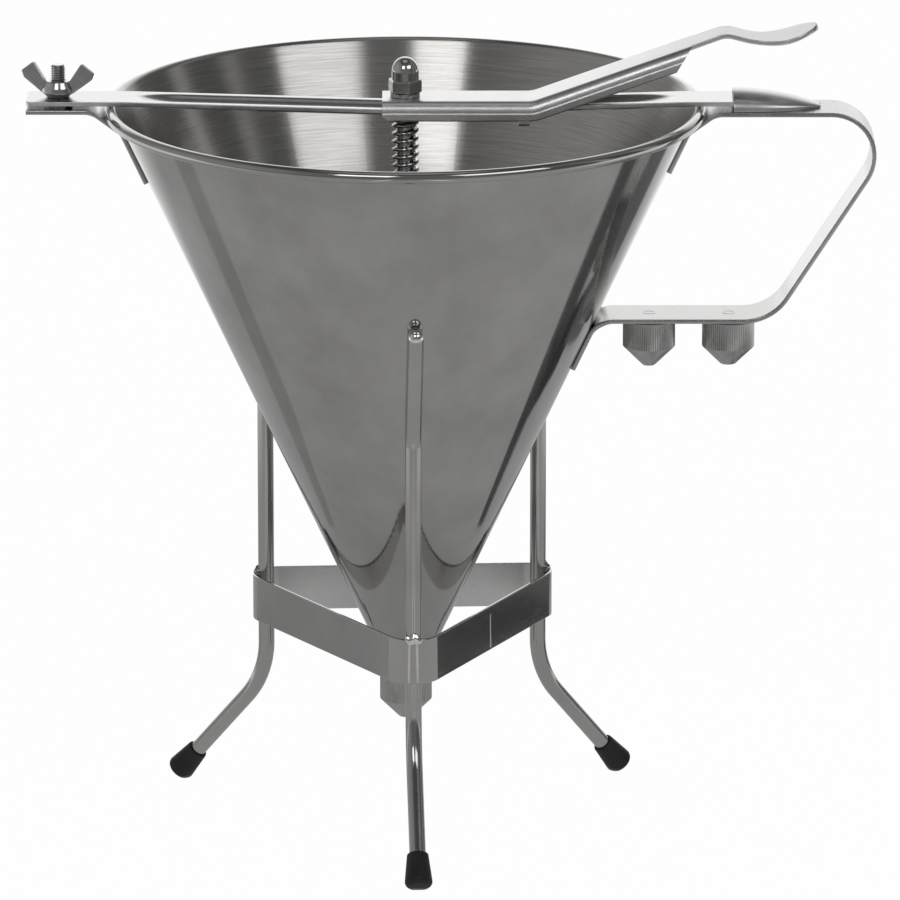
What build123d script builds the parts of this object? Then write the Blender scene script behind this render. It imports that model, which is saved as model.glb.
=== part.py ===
from build123d import *
import math
import os

# Funnel dispenser for confectionery: a conical hopper with a spring-closed valve rod and a thumb
# lever, standing in a three-legged wire stand. Millimetres and degrees.
# The origin is on the hopper's axis at floor level, +Z is up, the crossbar runs along X and the
# handle is on the +X side.

# Hopper
rim_height = 247.0  # floor to the top of the rolled rim
rim_radius = 100.0  # outside of the rolled rim
bead_radius = 2.0  # section of the rolled rim
cone_half_angle = 25.0
hopper_wall = 0.8

# Outlet under the cone
spout_radius = 7.0
collar_height = 1.8
spout_bore_radius = 3.2
seat_angle = 45.0  # valve seat, from the axis
thread_radius = 5.0
thread_length = 6.5
thread_clearance = 0.1
nozzle_gap = 0.3  # between a screwed-on nozzle and what is above it

# Nozzles
nozzle_radius = 8.75
knurl_height = 9.5
nozzle_tip_wall = 0.9  # round the bore
nozzle_tip_angle = 45.0  # from the axis
nozzle_edge = 0.5  # chamfer round the top
outlet_bore_radius = 1.5
spare_bore_radii = (1.3, 1.8)

# Strip steel of the handle and of the clamp bracket
strip_width = 20.0
strip_thickness = 1.5
tab_gap = 0.05  # between a welded tab and the cone
bead_gap = 0.3  # between the strip and the rolled rim
flare_angle = 38.0  # the strip's rise under the rim
flare_bend_radius = 8.0
tab_bend_radius = 4.0

# Handle
handle_step = -1.45  # upper face of the handle over the rim's top
handle_height = 72.25  # upper face of the top run to lower face of the bottom run
handle_overhang = 56.5  # outermost point of the grip beyond the rim
grip_lean = 32.8  # from the vertical
grip_top_radius = 15.0
grip_low_radius = 18.0
low_tab_bend_radius = 8.0
upper_tab_drop = 22.0  # below the rim's top
lower_tab_drop = 89.5
spare_offset = 17.0  # first spare nozzle from the corner of the lower tab
spare_spacing = 26.5

# Socket hood on the handle
socket_overhang = 8.9  # mouth beyond the rim
socket_length = 29.0
socket_height = 6.3
socket_side_height = 4.2
socket_half_width = 9.35
socket_tip_half_width = 2.2
socket_tip_height = 0.9
socket_sheet = 0.8

# Clamp bracket, stud and wing nut
bracket_step = -0.65  # upper face of the bracket over the rim's top
bracket_tab_drop = 25.6
stud_overhang = 15.25  # stud axis beyond the rim
stud_end_margin = 10.4  # stud axis to the end of bracket and bar
stud_radius = 2.5
stud_height = 13.5  # above the bracket
stud_chamfer = 0.5
spacer_radius = 4.9
spacer_thickness = 1.0
wing_base_radius = 5.0
wing_top_radius = 4.1
wing_base_height = 6.6
wing_thickness = 2.2
wing_tip_reach = 12.1
wing_tip_height = 8.9
wing_crest_reach = 8.2
wing_crest_height = 12.2
wing_root_height = 1.9
wing_turn = -12.0  # how the nut happens to stand
running_clearance = 0.05
seat_gap = 0.05  # between flat faces that turn on each other

# Crossbar
bar_width = 16.6
bar_thickness = 1.5
bar_insert = 9.0  # into the socket
bar_corner_radius = 1.5
bar_dip = 2.7  # the middle lies lower than the ends
bar_dip_margin = 7.0  # inside the rim, where the dip starts
bar_kink_radius = 30.0
groove_width = 10.3
groove_depth = 2.0
groove_margin = 11.0  # inside the rim, where the groove runs out
groove_runout = 15.0
rod_hole_clearance = 0.2

# Thumb lever
lever_thickness = 1.5
lever_width = 21.3
lever_depth = 6.0
lever_shoulder_radius = 2.9
lever_end = 7.6  # beyond the rod's axis
lever_end_chamfer = (2.5, 1.8)
fulcrum_reach = 44.9  # rod axis to the bend that rocks on the bar
fulcrum_gap = 0.15
lever_bend_radius = 4.5
lever_rise = 20.65
flange_end_margin = 5.0  # inside the rim
flange_cut_angle = 59.0
peak_overhang = 6.3  # beyond the rim
peak_radius = 5.0
dip_overhang = 21.0
dip_drop = 3.9  # below the peak
dip_radius = 28.0
thumb_overhang = 36.5
thumb_lift = 5.6  # above the dip
neck_half_width = 6.95
thumb_half_width = 9.4
lever_slot_length = 7.4
lever_slot_width = 6.6
lug_margin = 3.6  # fulcrum to the lug
lug_width = 3.8
lug_drop = 2.0
lug_reach = 3.3

# Valve rod and what is on it
rod_radius = 3.0
lift_washer_radius = 5.0
lift_washer_thickness = 1.3
lift_gap = 0.15  # washer to lever at rest
nut_across_flats = 10.0
nut_hex_height = 4.6
nut_height = 12.0
nut_dome_radius = 4.65
nut_thread_depth = 8.5
nut_chamfer_angle = 30.0
nut_turn = -75.5  # direction of one hexagon corner
fit_clearance = 0.02
plug_gap = 0.25  # plug to seat, square to the seat
plug_nose_radius = 2.4
plug_radius = 5.2
plug_neck_radius = 4.0
plug_land = 2.0
plug_length = 9.0
plug_socket_depth = 5.0
spring_washer_radius = 5.0
spring_washer_thickness = 1.2
pin_radius = 1.0
pin_length = 9.0

# Spring
wire_radius = 0.65
coil_radius = 3.95  # middle of the wire
coil_pitch = 2.65
coil_turns = 20
coil_end_turn = 55.0  # last part of a turn, where the wire bends upright
coil_end_rise = 2.4
spring_gap = 0.3  # to its seats
least_gap_allowed = 0.4

# Stand
leg_radius = 2.7  # wire
leg_circle_radius = 53.4  # upright wires from the axis
leg_gap = 0.2  # cone to wire
leg_rest_length = 43.6  # wire that lies along the cone
leg_splay = 41.2
leg_top_bend_radius = 12.0
leg_low_bend_radius = 31.0
foot_circle_radius = 86.0
foot_dome_radius = 4.4
foot_top_radius = 3.5
foot_length = 13.0
foot_flat = 0.4
stand_turn = 3.0
band_height = 15.3
band_thickness = 1.0
band_corner_radius = 9.5
band_top_height = 77.5
band_gap = 0.1  # wire to band

cone_cos = math.cos(math.radians(cone_half_angle))
cone_sin = math.sin(math.radians(cone_half_angle))
cone_tan = math.tan(math.radians(cone_half_angle))
bead_x = rim_radius - bead_radius
bead_z = rim_height - bead_radius


def cone_inner(z):
    """Inner radius of the hopper at height z; the inner face is tangent to the rolled rim."""
    return bead_x - bead_radius / cone_cos + (z - bead_z) * cone_tan


def cone_outer(z):
    """Outer radius of the hopper at height z."""
    return cone_inner(z) + hopper_wall / cone_cos


cone_end_z = bead_z + (spout_radius - cone_outer(bead_z)) / cone_tan
collar_bottom_z = cone_end_z - collar_height


def upright(point):
    """A point of the XZ plane."""
    return Vector(point[0], 0, point[1])


def outline(*points):
    """Closed face in the XZ plane through the points."""
    return make_face(Polyline(*[upright(p) for p in points], close=True))


def slab(face, width):
    """A face of the XZ plane made as thick as width, half to each side."""
    return extrude(face, amount=width / 2, dir=(0, 1, 0), both=True)


def turned(*points):
    """Solid of revolution about Z from radius and height pairs."""
    return revolve(outline(*points), axis=Axis.Z)


def ring(outer, inner, bottom, height):
    """Flat ring about Z."""
    return turned((inner, bottom), (outer, bottom), (outer, bottom + height), (inner, bottom + height))


def side_line(points, radii, shift):
    """Bent line of the XZ plane, moved to its left by shift, with the bend radii following."""
    steps = [(Vector(*b) - Vector(*a)).normalized() for a, b in zip(points, points[1:])]
    lefts = [Vector(-s.Y, s.X) for s in steps]
    moved = [Vector(*points[0]) + lefts[0] * shift]
    bends = []
    for i, radius in enumerate(radii):
        before = lefts[i]
        after = lefts[i + 1]
        miter = (before + after) / (1 + before.dot(after))
        moved.append(Vector(*points[i + 1]) + miter * shift)
        left_turn = steps[i].cross(steps[i + 1]).Z > 0
        bends.append(radius - shift if left_turn else radius + shift)
    moved.append(Vector(*points[-1]) + lefts[-1] * shift)
    return FilletPolyline(*[Vector(p.X, 0, p.Y) for p in moved], radius=bends)


def strip_face(points, radii, left, right):
    """Side view of a bent strip that reaches left and right of the given line."""
    one = side_line(points, radii, left)
    other = side_line(points, radii, -right)
    start = Line(one @ 0, other @ 0)
    end = Line(one @ 1, other @ 1)
    return make_face(one.edges() + other.edges() + start.edges() + end.edges())


def meet(point_a, angle_a, point_b, angle_b):
    """Where two lines of the XZ plane cross, each given by a point and its angle."""
    ax, az = math.cos(math.radians(angle_a)), math.sin(math.radians(angle_a))
    bx, bz = math.cos(math.radians(angle_b)), math.sin(math.radians(angle_b))
    along = ((point_b[0] - point_a[0]) * bz - (point_b[1] - point_a[1]) * bx) / (ax * bz - az * bx)
    return (point_a[0] + along * ax, point_a[1] + along * az)


# Hopper and outlet
def hopper_cone():
    centre = Vector(bead_x, 0, bead_z)
    inward = Vector(-cone_cos, 0, cone_sin)
    along = Vector(cone_sin, 0, cone_cos)
    inner_top = centre + inward * bead_radius
    depth = bead_radius - hopper_wall
    outer_top = centre + inward * depth - along * math.sqrt(bead_radius**2 - depth**2)
    inner_end = upright((cone_inner(cone_end_z), cone_end_z))
    outer_end = upright((cone_outer(cone_end_z), cone_end_z))
    wall = Polyline(outer_top, outer_end, inner_end, inner_top)
    bead = ThreePointArc(inner_top, centre - inward * bead_radius, outer_top)
    return revolve(make_face(wall.edges() + bead.edges()), axis=Axis.Z)


seat_tan = math.tan(math.radians(seat_angle))
seat_top_radius = cone_inner(cone_end_z)
seat_bottom_z = cone_end_z - (seat_top_radius - spout_bore_radius) / seat_tan


def outlet_spout():
    thread_end = collar_bottom_z - thread_length
    return turned(
        (spout_bore_radius, thread_end),
        (thread_radius, thread_end),
        (thread_radius, collar_bottom_z),
        (spout_radius, collar_bottom_z),
        (spout_radius, cone_end_z),
        (seat_top_radius, cone_end_z),
        (spout_bore_radius, seat_bottom_z),
    )


def nozzle(x, top, bore_radius):
    """Knurled nozzle with its mouth for the thread at height top."""
    shoulder = top - knurl_height
    tip_radius = bore_radius + nozzle_tip_wall
    tip = shoulder - (nozzle_radius - tip_radius) / math.tan(math.radians(nozzle_tip_angle))
    mouth_radius = thread_radius + thread_clearance
    mouth_end = top - thread_length - thread_clearance
    body = turned(
        (bore_radius, tip),
        (tip_radius, tip),
        (nozzle_radius, shoulder),
        (nozzle_radius, top - nozzle_edge),
        (nozzle_radius - nozzle_edge, top),
        (mouth_radius, top),
        (mouth_radius, mouth_end),
        (bore_radius, mouth_end - (mouth_radius - bore_radius)),
    )
    return Pos(x, 0, 0) * body


# Strips welded to the cone
strip_half = strip_thickness / 2
tab_shift = (tab_gap + strip_half) / cone_cos  # cone to the middle of a tab, level
cone_lean = 90 - cone_half_angle


def tab_point(drop):
    """Middle of a welded tab at the given drop below the rim's top."""
    z = rim_height - drop
    return (cone_outer(z) + tab_shift, z)


def flare_points(level):
    """Kink under the rim and corner to a level run whose middle is at the given height."""
    reach = bead_radius + bead_gap + strip_half
    flare = math.radians(flare_angle)
    below = (bead_x + reach * math.sin(flare), bead_z - reach * math.cos(flare))
    kink = meet(tab_point(0), cone_lean, below, flare_angle)
    corner = meet(below, flare_angle, (0, level), 0)
    return [kink, corner]


handle_top_z = rim_height + handle_step
handle_low_z = handle_top_z - handle_height  # lower face of the bottom run
low_corner = meet(tab_point(0), cone_lean, (0, handle_low_z + strip_half), 0)
spare_spots = [low_corner[0] + spare_offset, low_corner[0] + spare_offset + spare_spacing]


def handle_strip():
    top_level = handle_top_z - strip_half
    low_level = handle_low_z + strip_half
    lean = math.radians(grip_lean)
    centre = (rim_radius + handle_overhang - grip_top_radius, handle_top_z - grip_top_radius)
    middle = grip_top_radius - strip_half
    on_grip = (centre[0] + middle * math.cos(lean), centre[1] - middle * math.sin(lean))
    top_corner = meet(on_grip, 90 - grip_lean, (0, top_level), 0)
    grip_corner = meet(on_grip, 90 - grip_lean, (0, low_level), 0)
    points = [tab_point(upper_tab_drop), *flare_points(top_level), top_corner, grip_corner]
    points += [low_corner, tab_point(lower_tab_drop)]
    radii = [tab_bend_radius, flare_bend_radius, middle, grip_low_radius - strip_half, low_tab_bend_radius]
    return slab(strip_face(points, radii, strip_half, strip_half), strip_width)


socket_mouth_x = rim_radius + socket_overhang


def hood_section(share, inset):
    """Arch across the hood at a share of its length, drawn in by inset from its outside."""
    taper = 1 - share**2
    half = socket_tip_half_width + (socket_half_width - socket_tip_half_width) * (1 - abs(share) ** 3)
    height = socket_tip_height + (socket_height - socket_tip_height) * taper
    side = height * socket_side_height / socket_height
    x = socket_mouth_x + share * socket_length
    left = Vector(x, -half + inset, handle_top_z)
    right = Vector(x, half - inset, handle_top_z)
    rise = Vector(0, 0, side - inset / 2)
    crown = Vector(x, 0, handle_top_z + height - inset)
    arch = ThreePointArc(left + rise, crown, right + rise)
    edges = [Line(left, left + rise), arch, Line(right + rise, right), Line(right, left)]
    return make_face([e for line in edges for e in line.edges()])


def bar_socket():
    outside = loft([hood_section(share, 0) for share in (0, 0.3, 0.6, 0.85, 1)])
    inside = loft([hood_section(share, socket_sheet) for share in (-0.05, 0.3, 0.55, 0.75)])
    return outside - inside


bracket_top_z = rim_height + bracket_step
stud_x = -(rim_radius + stud_overhang)
clamp_end_x = stud_x - stud_end_margin


def clamp_bracket():
    level = bracket_top_z - strip_half
    points = [tab_point(bracket_tab_drop), *flare_points(level), (-clamp_end_x, level)]
    strip = slab(strip_face(points, [tab_bend_radius, flare_bend_radius], strip_half, strip_half), strip_width)
    hole = Pos(stud_x, 0, level) * Cylinder(stud_radius + fit_clearance, 4 * strip_thickness)
    return mirror(strip, Plane.YZ) - hole


def clamp_stud():
    bottom = bracket_top_z - strip_thickness
    top = bracket_top_z + stud_height
    stud = turned(
        (0, bottom),
        (stud_radius, bottom),
        (stud_radius, top - stud_chamfer),
        (stud_radius - stud_chamfer, top),
        (0, top),
    )
    return Pos(stud_x, 0, 0) * stud


def spacer_washer():
    washer = ring(spacer_radius, stud_radius + running_clearance, bracket_top_z, spacer_thickness)
    return Pos(stud_x, 0, 0) * washer


bar_bottom_z = bracket_top_z + spacer_thickness
bar_top_z = bar_bottom_z + bar_thickness


def wing_nut():
    base = bar_top_z + seat_gap
    hub = ring(wing_base_radius, stud_radius + running_clearance, base, wing_base_height)
    taper = turned(
        (0, base),
        (wing_base_radius, base),
        (wing_base_radius, base + wing_root_height),
        (wing_top_radius, base + wing_base_height),
        (0, base + wing_base_height),
    )
    root = (stud_radius + wing_top_radius) / 2
    wing = slab(
        outline(
            (root, base + wing_root_height / 2),
            (wing_base_radius, base + wing_root_height / 2),
            (wing_tip_reach, base + wing_tip_height),
            (wing_crest_reach, base + wing_crest_height),
            (wing_top_radius, base + wing_base_height),
            (root, base + wing_base_height),
        ),
        wing_thickness,
    )
    nut = (hub & taper) + wing + mirror(wing, Plane.YZ)
    return Pos(stud_x, 0, 0) * Rot(0, 0, wing_turn) * nut


# Crossbar
bar_end_x = socket_mouth_x + bar_insert
dip_reach = rim_radius - bar_dip_margin
dip_angle = math.degrees(math.atan(bar_dip / dip_reach))
bar_middle_top_z = bar_top_z - bar_dip


def bar_slope(x):
    """Height of the upper face of the bar's +X slope, or of that slope's continuation."""
    return bar_middle_top_z + bar_dip * x / dip_reach


def bar_half_face(end, depth):
    """Side view of the +X half of the bar, made as deep as depth below its upper face."""
    before = -bar_width
    points = [(before, bar_slope(before)), (dip_reach, bar_top_z), (end, bar_top_z)]
    return strip_face(points, [bar_kink_radius], 0, depth)


groove_tool_radius = (groove_width**2 / 4 + groove_depth**2) / (2 * groove_depth)


def groove_tool(radius):
    """Round bar that lies in the +X half of the groove and rises out of it."""
    lift = groove_tool_radius - groove_depth
    bend = groove_runout**2 / (2 * groove_depth) - lift
    turn = 2 * math.degrees(math.atan(groove_runout / (bend + lift)))
    corner = rim_radius - groove_margin - groove_runout + bend * math.tan(math.radians(turn / 2))
    corner_z = bar_slope(corner) + lift
    rise = math.radians(dip_angle + turn)
    tail = (corner + groove_runout * math.cos(rise), corner_z + groove_runout * math.sin(rise))
    before = -2 * bar_width
    path = side_line([(before, bar_slope(before) + lift), (corner, corner_z), tail], [bend], 0)
    start = Plane(origin=path @ 0, z_dir=path % 0)
    return sweep(start * Circle(radius), path=path)


def bar_half(end):
    """Bar from its middle to the given end, with the pressed groove."""
    size = 2 * end
    this_half = Pos(0, 0, bar_top_z) * Box(size, size, size, align=(Align.MIN, Align.CENTER, Align.CENTER))
    plate = slab(bar_half_face(end, bar_thickness), bar_width) & this_half
    corners = [e for e in plate.edges().filter_by(Axis.Z) if abs(e.center().X - end) < 0.1]
    plate = fillet(corners, bar_corner_radius)
    below = slab(bar_half_face(end, groove_depth + 2 * bar_thickness), bar_width) & this_half
    bulge = groove_tool(groove_tool_radius + bar_thickness) & below
    return plate + bulge - groove_tool(groove_tool_radius)


def crossbar():
    bar = bar_half(bar_end_x) + mirror(bar_half(-clamp_end_x), Plane.YZ)
    stud_hole = Pos(stud_x, 0, bar_bottom_z) * Cylinder(stud_radius + rod_hole_clearance, 4 * bar_thickness)
    rod_hole = Pos(0, 0, bar_bottom_z) * Cylinder(rod_radius + rod_hole_clearance, 10 * bar_thickness)
    return bar - stud_hole - rod_hole


# Thumb lever
lever_under_z = bar_slope(fulcrum_reach) + fulcrum_gap
lever_top_z = lever_under_z + lever_thickness
lever_corner = (fulcrum_reach + lever_bend_radius * math.tan(math.radians(lever_rise / 2)), lever_top_z)


def on_lever_slope(x):
    """Upper face of the lever's rising stretch."""
    return (x, lever_top_z + (x - lever_corner[0]) * math.tan(math.radians(lever_rise)))


def lever_channel():
    """Channel that straddles the bar, from the rod's end to the slanting cut of its flanges."""
    flange_end = on_lever_slope(rim_radius - flange_end_margin)
    beyond = on_lever_slope(rim_radius)
    path = side_line([(-lever_end, lever_top_z), lever_corner, beyond], [lever_bend_radius], 0)
    inside_width = lever_width - 2 * lever_thickness
    web_bottom = -lever_thickness
    outer = Pos(0, -lever_depth / 2) * Rectangle(lever_width, lever_depth)
    outer = fillet(outer.vertices().group_by(Axis.Y)[-1], lever_shoulder_radius)
    inner = Pos(0, web_bottom - lever_depth / 2) * Rectangle(inside_width, lever_depth)
    inner = fillet(inner.vertices().group_by(Axis.Y)[-1], lever_shoulder_radius - lever_thickness)
    start = Plane(origin=path @ 0, x_dir=(0, 1, 0), z_dir=(1, 0, 0))
    channel = sweep(start * (outer - inner), path=path)
    cut = math.radians(flange_cut_angle)
    long = 3 * lever_depth
    low = (flange_end[0] - long * math.cos(cut), flange_end[1] - long * math.sin(cut))
    high = (flange_end[0] + long * math.cos(cut), flange_end[1] + long * math.sin(cut))
    far = rim_radius + long
    beyond_cut = slab(outline(low, high, (far, high[1]), (far, low[1])), 2 * lever_width)
    foot = lever_top_z - lever_depth
    nick = slab(
        outline(
            (-lever_end, foot),
            (-lever_end + lever_end_chamfer[0], foot),
            (-lever_end, foot + lever_end_chamfer[1]),
        ),
        2 * lever_width,
    )
    return channel - beyond_cut - nick


def thumb_rest():
    """Flat neck and curved thumb rest, in one strip with the channel's web."""
    start_x = rim_radius - flange_end_margin - 2 * lever_depth
    peak = on_lever_slope(rim_radius + peak_overhang)
    dip = (rim_radius + dip_overhang, peak[1] - dip_drop)
    tip = (rim_radius + thumb_overhang, dip[1] + thumb_lift)
    points = [on_lever_slope(start_x), peak, dip, tip]
    strip = slab(strip_face(points, [peak_radius, dip_radius], 0, lever_thickness), lever_width)
    web_half = lever_width / 2 - lever_shoulder_radius
    wide_x = tip[0] - thumb_half_width
    edge = [(start_x, web_half), (rim_radius - flange_end_margin, web_half), (peak[0], neck_half_width)]
    edge += [(dip[0] - peak_radius, neck_half_width), (wide_x, thumb_half_width)]
    one = Spline(*edge)
    other = Spline(*[(x, -y) for x, y in edge])
    end = ThreePointArc(one @ 1, (tip[0], 0), other @ 1)
    start = Line(one @ 0, other @ 0)
    plan = make_face(one.edges() + other.edges() + end.edges() + start.edges())
    return strip & extrude(Pos(0, 0, lever_top_z - lever_depth) * plan, amount=10 * lever_depth)


def lever_lug():
    """Lug bent in under the bar, on the -Y flange."""
    x = fulcrum_reach - lug_margin - lug_width
    foot = lever_top_z - lever_depth
    side = -lever_width / 2
    align = (Align.MIN, Align.MIN, Align.MAX)
    down = Pos(x, side, foot + lug_drop) * Box(lug_width, lever_thickness, 2 * lug_drop, align=align)
    turn = Pos(x, side, foot - lug_drop + lever_thickness) * Box(lug_width, lug_reach, lever_thickness, align=align)
    return down + turn


def thumb_lever():
    lug = lever_lug()
    slot = SlotOverall(lever_slot_length, lever_slot_width)
    opening = extrude(Pos(0, 0, lever_under_z - lever_thickness) * slot, amount=3 * lever_thickness)
    return lever_channel() + thumb_rest() + lug + mirror(lug, Plane.XZ) - opening


# Valve rod
washer_bottom_z = lever_top_z + lift_gap
nut_bottom_z = washer_bottom_z + lift_washer_thickness
rod_top_z = nut_bottom_z + nut_thread_depth
plug_shift = plug_gap / math.cos(math.radians(seat_angle))
plug_nose_z = seat_bottom_z + (plug_nose_radius + plug_shift - spout_bore_radius) / seat_tan
plug_land_z = plug_nose_z + (plug_radius - plug_nose_radius) / seat_tan
plug_top_z = plug_nose_z + plug_length
rod_bottom_z = plug_top_z - plug_socket_depth

spring_top_z = bar_middle_top_z - groove_depth - bar_thickness - spring_gap
wire_diameter = 2 * wire_radius
coil_top_z = spring_top_z - wire_diameter - coil_end_rise
coil_bottom_z = coil_top_z - coil_turns * coil_pitch
spring_bottom_z = coil_bottom_z - coil_end_rise - wire_diameter
spring_seat_z = spring_bottom_z - spring_gap
pin_z = spring_seat_z - spring_washer_thickness - pin_radius - fit_clearance


def valve_rod():
    length = rod_top_z - rod_bottom_z
    rod = Pos(0, 0, rod_bottom_z) * Cylinder(rod_radius, length, align=(Align.CENTER, Align.CENTER, Align.MIN))
    hole = Pos(0, 0, pin_z) * Rot(0, 90, 0) * Cylinder(pin_radius + fit_clearance, 4 * rod_radius)
    return rod - hole


def stop_pin():
    return Pos(0, 0, pin_z) * Rot(0, 90, 0) * Cylinder(pin_radius, pin_length)


def spring_washer():
    bottom = spring_seat_z - spring_washer_thickness
    return ring(spring_washer_radius, rod_radius + fit_clearance, bottom, spring_washer_thickness)


def lift_washer():
    return ring(lift_washer_radius, rod_radius + fit_clearance, washer_bottom_z, lift_washer_thickness)


def acorn_nut():
    corner = nut_across_flats / 2 / math.cos(math.radians(30))
    flat = nut_across_flats / 2
    slope = (corner - flat) * math.tan(math.radians(nut_chamfer_angle))
    top = nut_bottom_z + nut_hex_height
    hexagon = RegularPolygon(flat, 6, major_radius=False)
    prism = extrude(Pos(0, 0, nut_bottom_z) * Rot(0, 0, nut_turn) * hexagon, amount=nut_hex_height)
    rounded = turned(
        (0, nut_bottom_z),
        (flat, nut_bottom_z),
        (corner, nut_bottom_z + slope),
        (corner, top - slope),
        (flat, top),
        (0, top),
    )
    dome_z = nut_bottom_z + nut_height - nut_dome_radius
    barrel = turned((0, nut_bottom_z), (nut_dome_radius, nut_bottom_z), (nut_dome_radius, dome_z), (0, dome_z))
    dome = Pos(0, 0, dome_z) * Sphere(nut_dome_radius)
    thread = turned(
        (0, nut_bottom_z),
        (rod_radius + fit_clearance, nut_bottom_z),
        (rod_radius + fit_clearance, rod_top_z + fit_clearance),
        (0, rod_top_z + fit_clearance),
    )
    return (prism & rounded) + barrel + dome - thread


def valve_plug():
    socket_radius = rod_radius + fit_clearance
    return turned(
        (0, plug_nose_z),
        (plug_nose_radius, plug_nose_z),
        (plug_radius, plug_land_z),
        (plug_radius, plug_land_z + plug_land),
        (plug_neck_radius, plug_top_z),
        (socket_radius, plug_top_z),
        (socket_radius, rod_bottom_z - fit_clearance),
        (0, rod_bottom_z - fit_clearance),
    )


def biarc(start, start_way, end, end_way):
    """Two arcs, tangent to each other and to the given directions at both ends."""
    span = end - start
    ways = start_way + end_way
    bend = 2 * (1 - start_way.dot(end_way))
    across = span.dot(ways)
    reach = (math.sqrt(across**2 + bend * span.dot(span)) - across) / bend
    first = start + start_way * reach
    second = end - end_way * reach
    middle = (first + second) / 2
    middle_way = (second - first).normalized()
    return [TangentArc(start, middle, tangent=start_way), TangentArc(middle, end, tangent=middle_way)]


def coil_point(turns, z):
    angle = 2 * math.pi * turns
    return Vector(coil_radius * math.cos(angle), coil_radius * math.sin(angle), z)


def coil_way(turns):
    angle = 2 * math.pi * turns
    climb = coil_pitch / (2 * math.pi * coil_radius)
    return Vector(-math.sin(angle), math.cos(angle), climb).normalized()


def spring_path():
    """Upright end, coil in half turns, upright end."""
    up = Vector(0, 0, 1)
    end_share = coil_end_turn / 360
    foot = coil_point(-end_share, spring_bottom_z)
    foot_bend = foot + up * wire_diameter
    head = coil_point(coil_turns + end_share, spring_top_z)
    head_bend = head - up * wire_diameter
    edges = [Line(foot, foot_bend)]
    edges += biarc(foot_bend, up, coil_point(0, coil_bottom_z), coil_way(0))
    for half in range(2 * coil_turns):
        here = half / 2
        there = here + 0.5
        start = coil_point(here, coil_bottom_z + here * coil_pitch)
        end = coil_point(there, coil_bottom_z + there * coil_pitch)
        edges += biarc(start, coil_way(here), end, coil_way(there))
    edges += biarc(coil_point(coil_turns, coil_top_z), coil_way(coil_turns), head_bend, up)
    edges.append(Line(head_bend, head))
    return edges


def least_self_gap(edges):
    """Least distance between the spring's own surfaces, measured on points along its middle line."""
    points = []
    travelled = []
    done = 0.0
    for edge in edges:
        count = max(3, int(edge.length / 0.4))
        for i in range(count):
            points.append(edge @ (i / count))
            travelled.append(done + edge.length * i / count)
        done += edge.length
    least = float("inf")
    once_round = math.pi * coil_radius
    for i, here in enumerate(points):
        for j in range(i + 1, len(points)):
            apart = travelled[j] - travelled[i]
            if once_round < apart < 4 * once_round:
                least = min(least, (here - points[j]).length - wire_diameter)
    return least


def closing_spring():
    edges = spring_path()
    gap = least_self_gap(edges)
    print("closing_spring least gap to itself:", round(gap, 2), "mm, allowed over", least_gap_allowed)
    path = Wire([e.edge() for e in edges])
    start = Plane(origin=path @ 0, z_dir=path % 0)
    return sweep(start * Circle(wire_radius), path=path)


# Stand
leg_cone_shift = (leg_gap + leg_radius) / cone_cos  # cone to the wire's middle, level
leg_bend_z = bead_z + (leg_circle_radius - leg_cone_shift - cone_outer(bead_z)) / cone_tan
foot_z = foot_dome_radius - foot_flat
splay_tan = math.tan(math.radians(leg_splay))
leg_splay_z = foot_z + (foot_circle_radius - leg_circle_radius) / splay_tan
leg_angles = {"front": stand_turn - 90, "right": stand_turn + 30, "left": stand_turn + 150}


def wire_leg(angle):
    tip = (leg_circle_radius + leg_rest_length * cone_sin, leg_bend_z + leg_rest_length * cone_cos)
    points = [tip, (leg_circle_radius, leg_bend_z), (leg_circle_radius, leg_splay_z), (foot_circle_radius, foot_z)]
    path = side_line(points, [leg_top_bend_radius, leg_low_bend_radius], 0)
    start = Plane(origin=path @ 0, z_dir=path % 0)
    wire = sweep(start * Circle(leg_radius), path=path)
    return Rot(0, 0, angle) * (wire + Pos(*upright(tip)) * Sphere(leg_radius))


def rubber_foot(angle):
    top = foot_length - foot_dome_radius
    cup = turned((0, 0), (foot_dome_radius, 0), (foot_top_radius, top), (0, top)) + Sphere(foot_dome_radius)
    hole = Pos(0, 0, -fit_clearance) * Cylinder(
        leg_radius + fit_clearance, 2 * foot_length, align=(Align.CENTER, Align.CENTER, Align.MIN)
    )
    cap = Pos(foot_circle_radius, 0, foot_z) * Rot(0, -leg_splay, 0) * (cup - hole)
    floor = Pos(foot_circle_radius, 0, 0) * Box(
        4 * foot_length, 4 * foot_length, 2 * foot_length, align=(Align.CENTER, Align.CENTER, Align.MAX)
    )
    return Rot(0, 0, angle) * (cap - floor)


def stand_band():
    """Triangular band round the outside of the three wires."""
    apex = leg_circle_radius + leg_radius + band_gap + band_thickness
    centre = apex - band_corner_radius
    inner_radius = band_corner_radius - band_thickness

    def rounded_triangle(corner_radius):
        sharp = centre + corner_radius / math.sin(math.radians(30))
        angles = [math.radians(a) for a in leg_angles.values()]
        points = [(sharp * math.cos(a), sharp * math.sin(a)) for a in angles]
        face = make_face(Polyline(*points, close=True))
        return fillet(face.vertices(), corner_radius)

    loop = rounded_triangle(band_corner_radius) - rounded_triangle(inner_radius)
    return extrude(Pos(0, 0, band_top_height - band_height) * loop, amount=band_height)


spare_top_z = handle_low_z - nozzle_gap
stud_bottom_z = handle_low_z - thread_length


def nozzle_stud(x):
    return Pos(x, 0, stud_bottom_z) * Cylinder(
        thread_radius, thread_length, align=(Align.CENTER, Align.CENTER, Align.MIN)
    )


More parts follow.
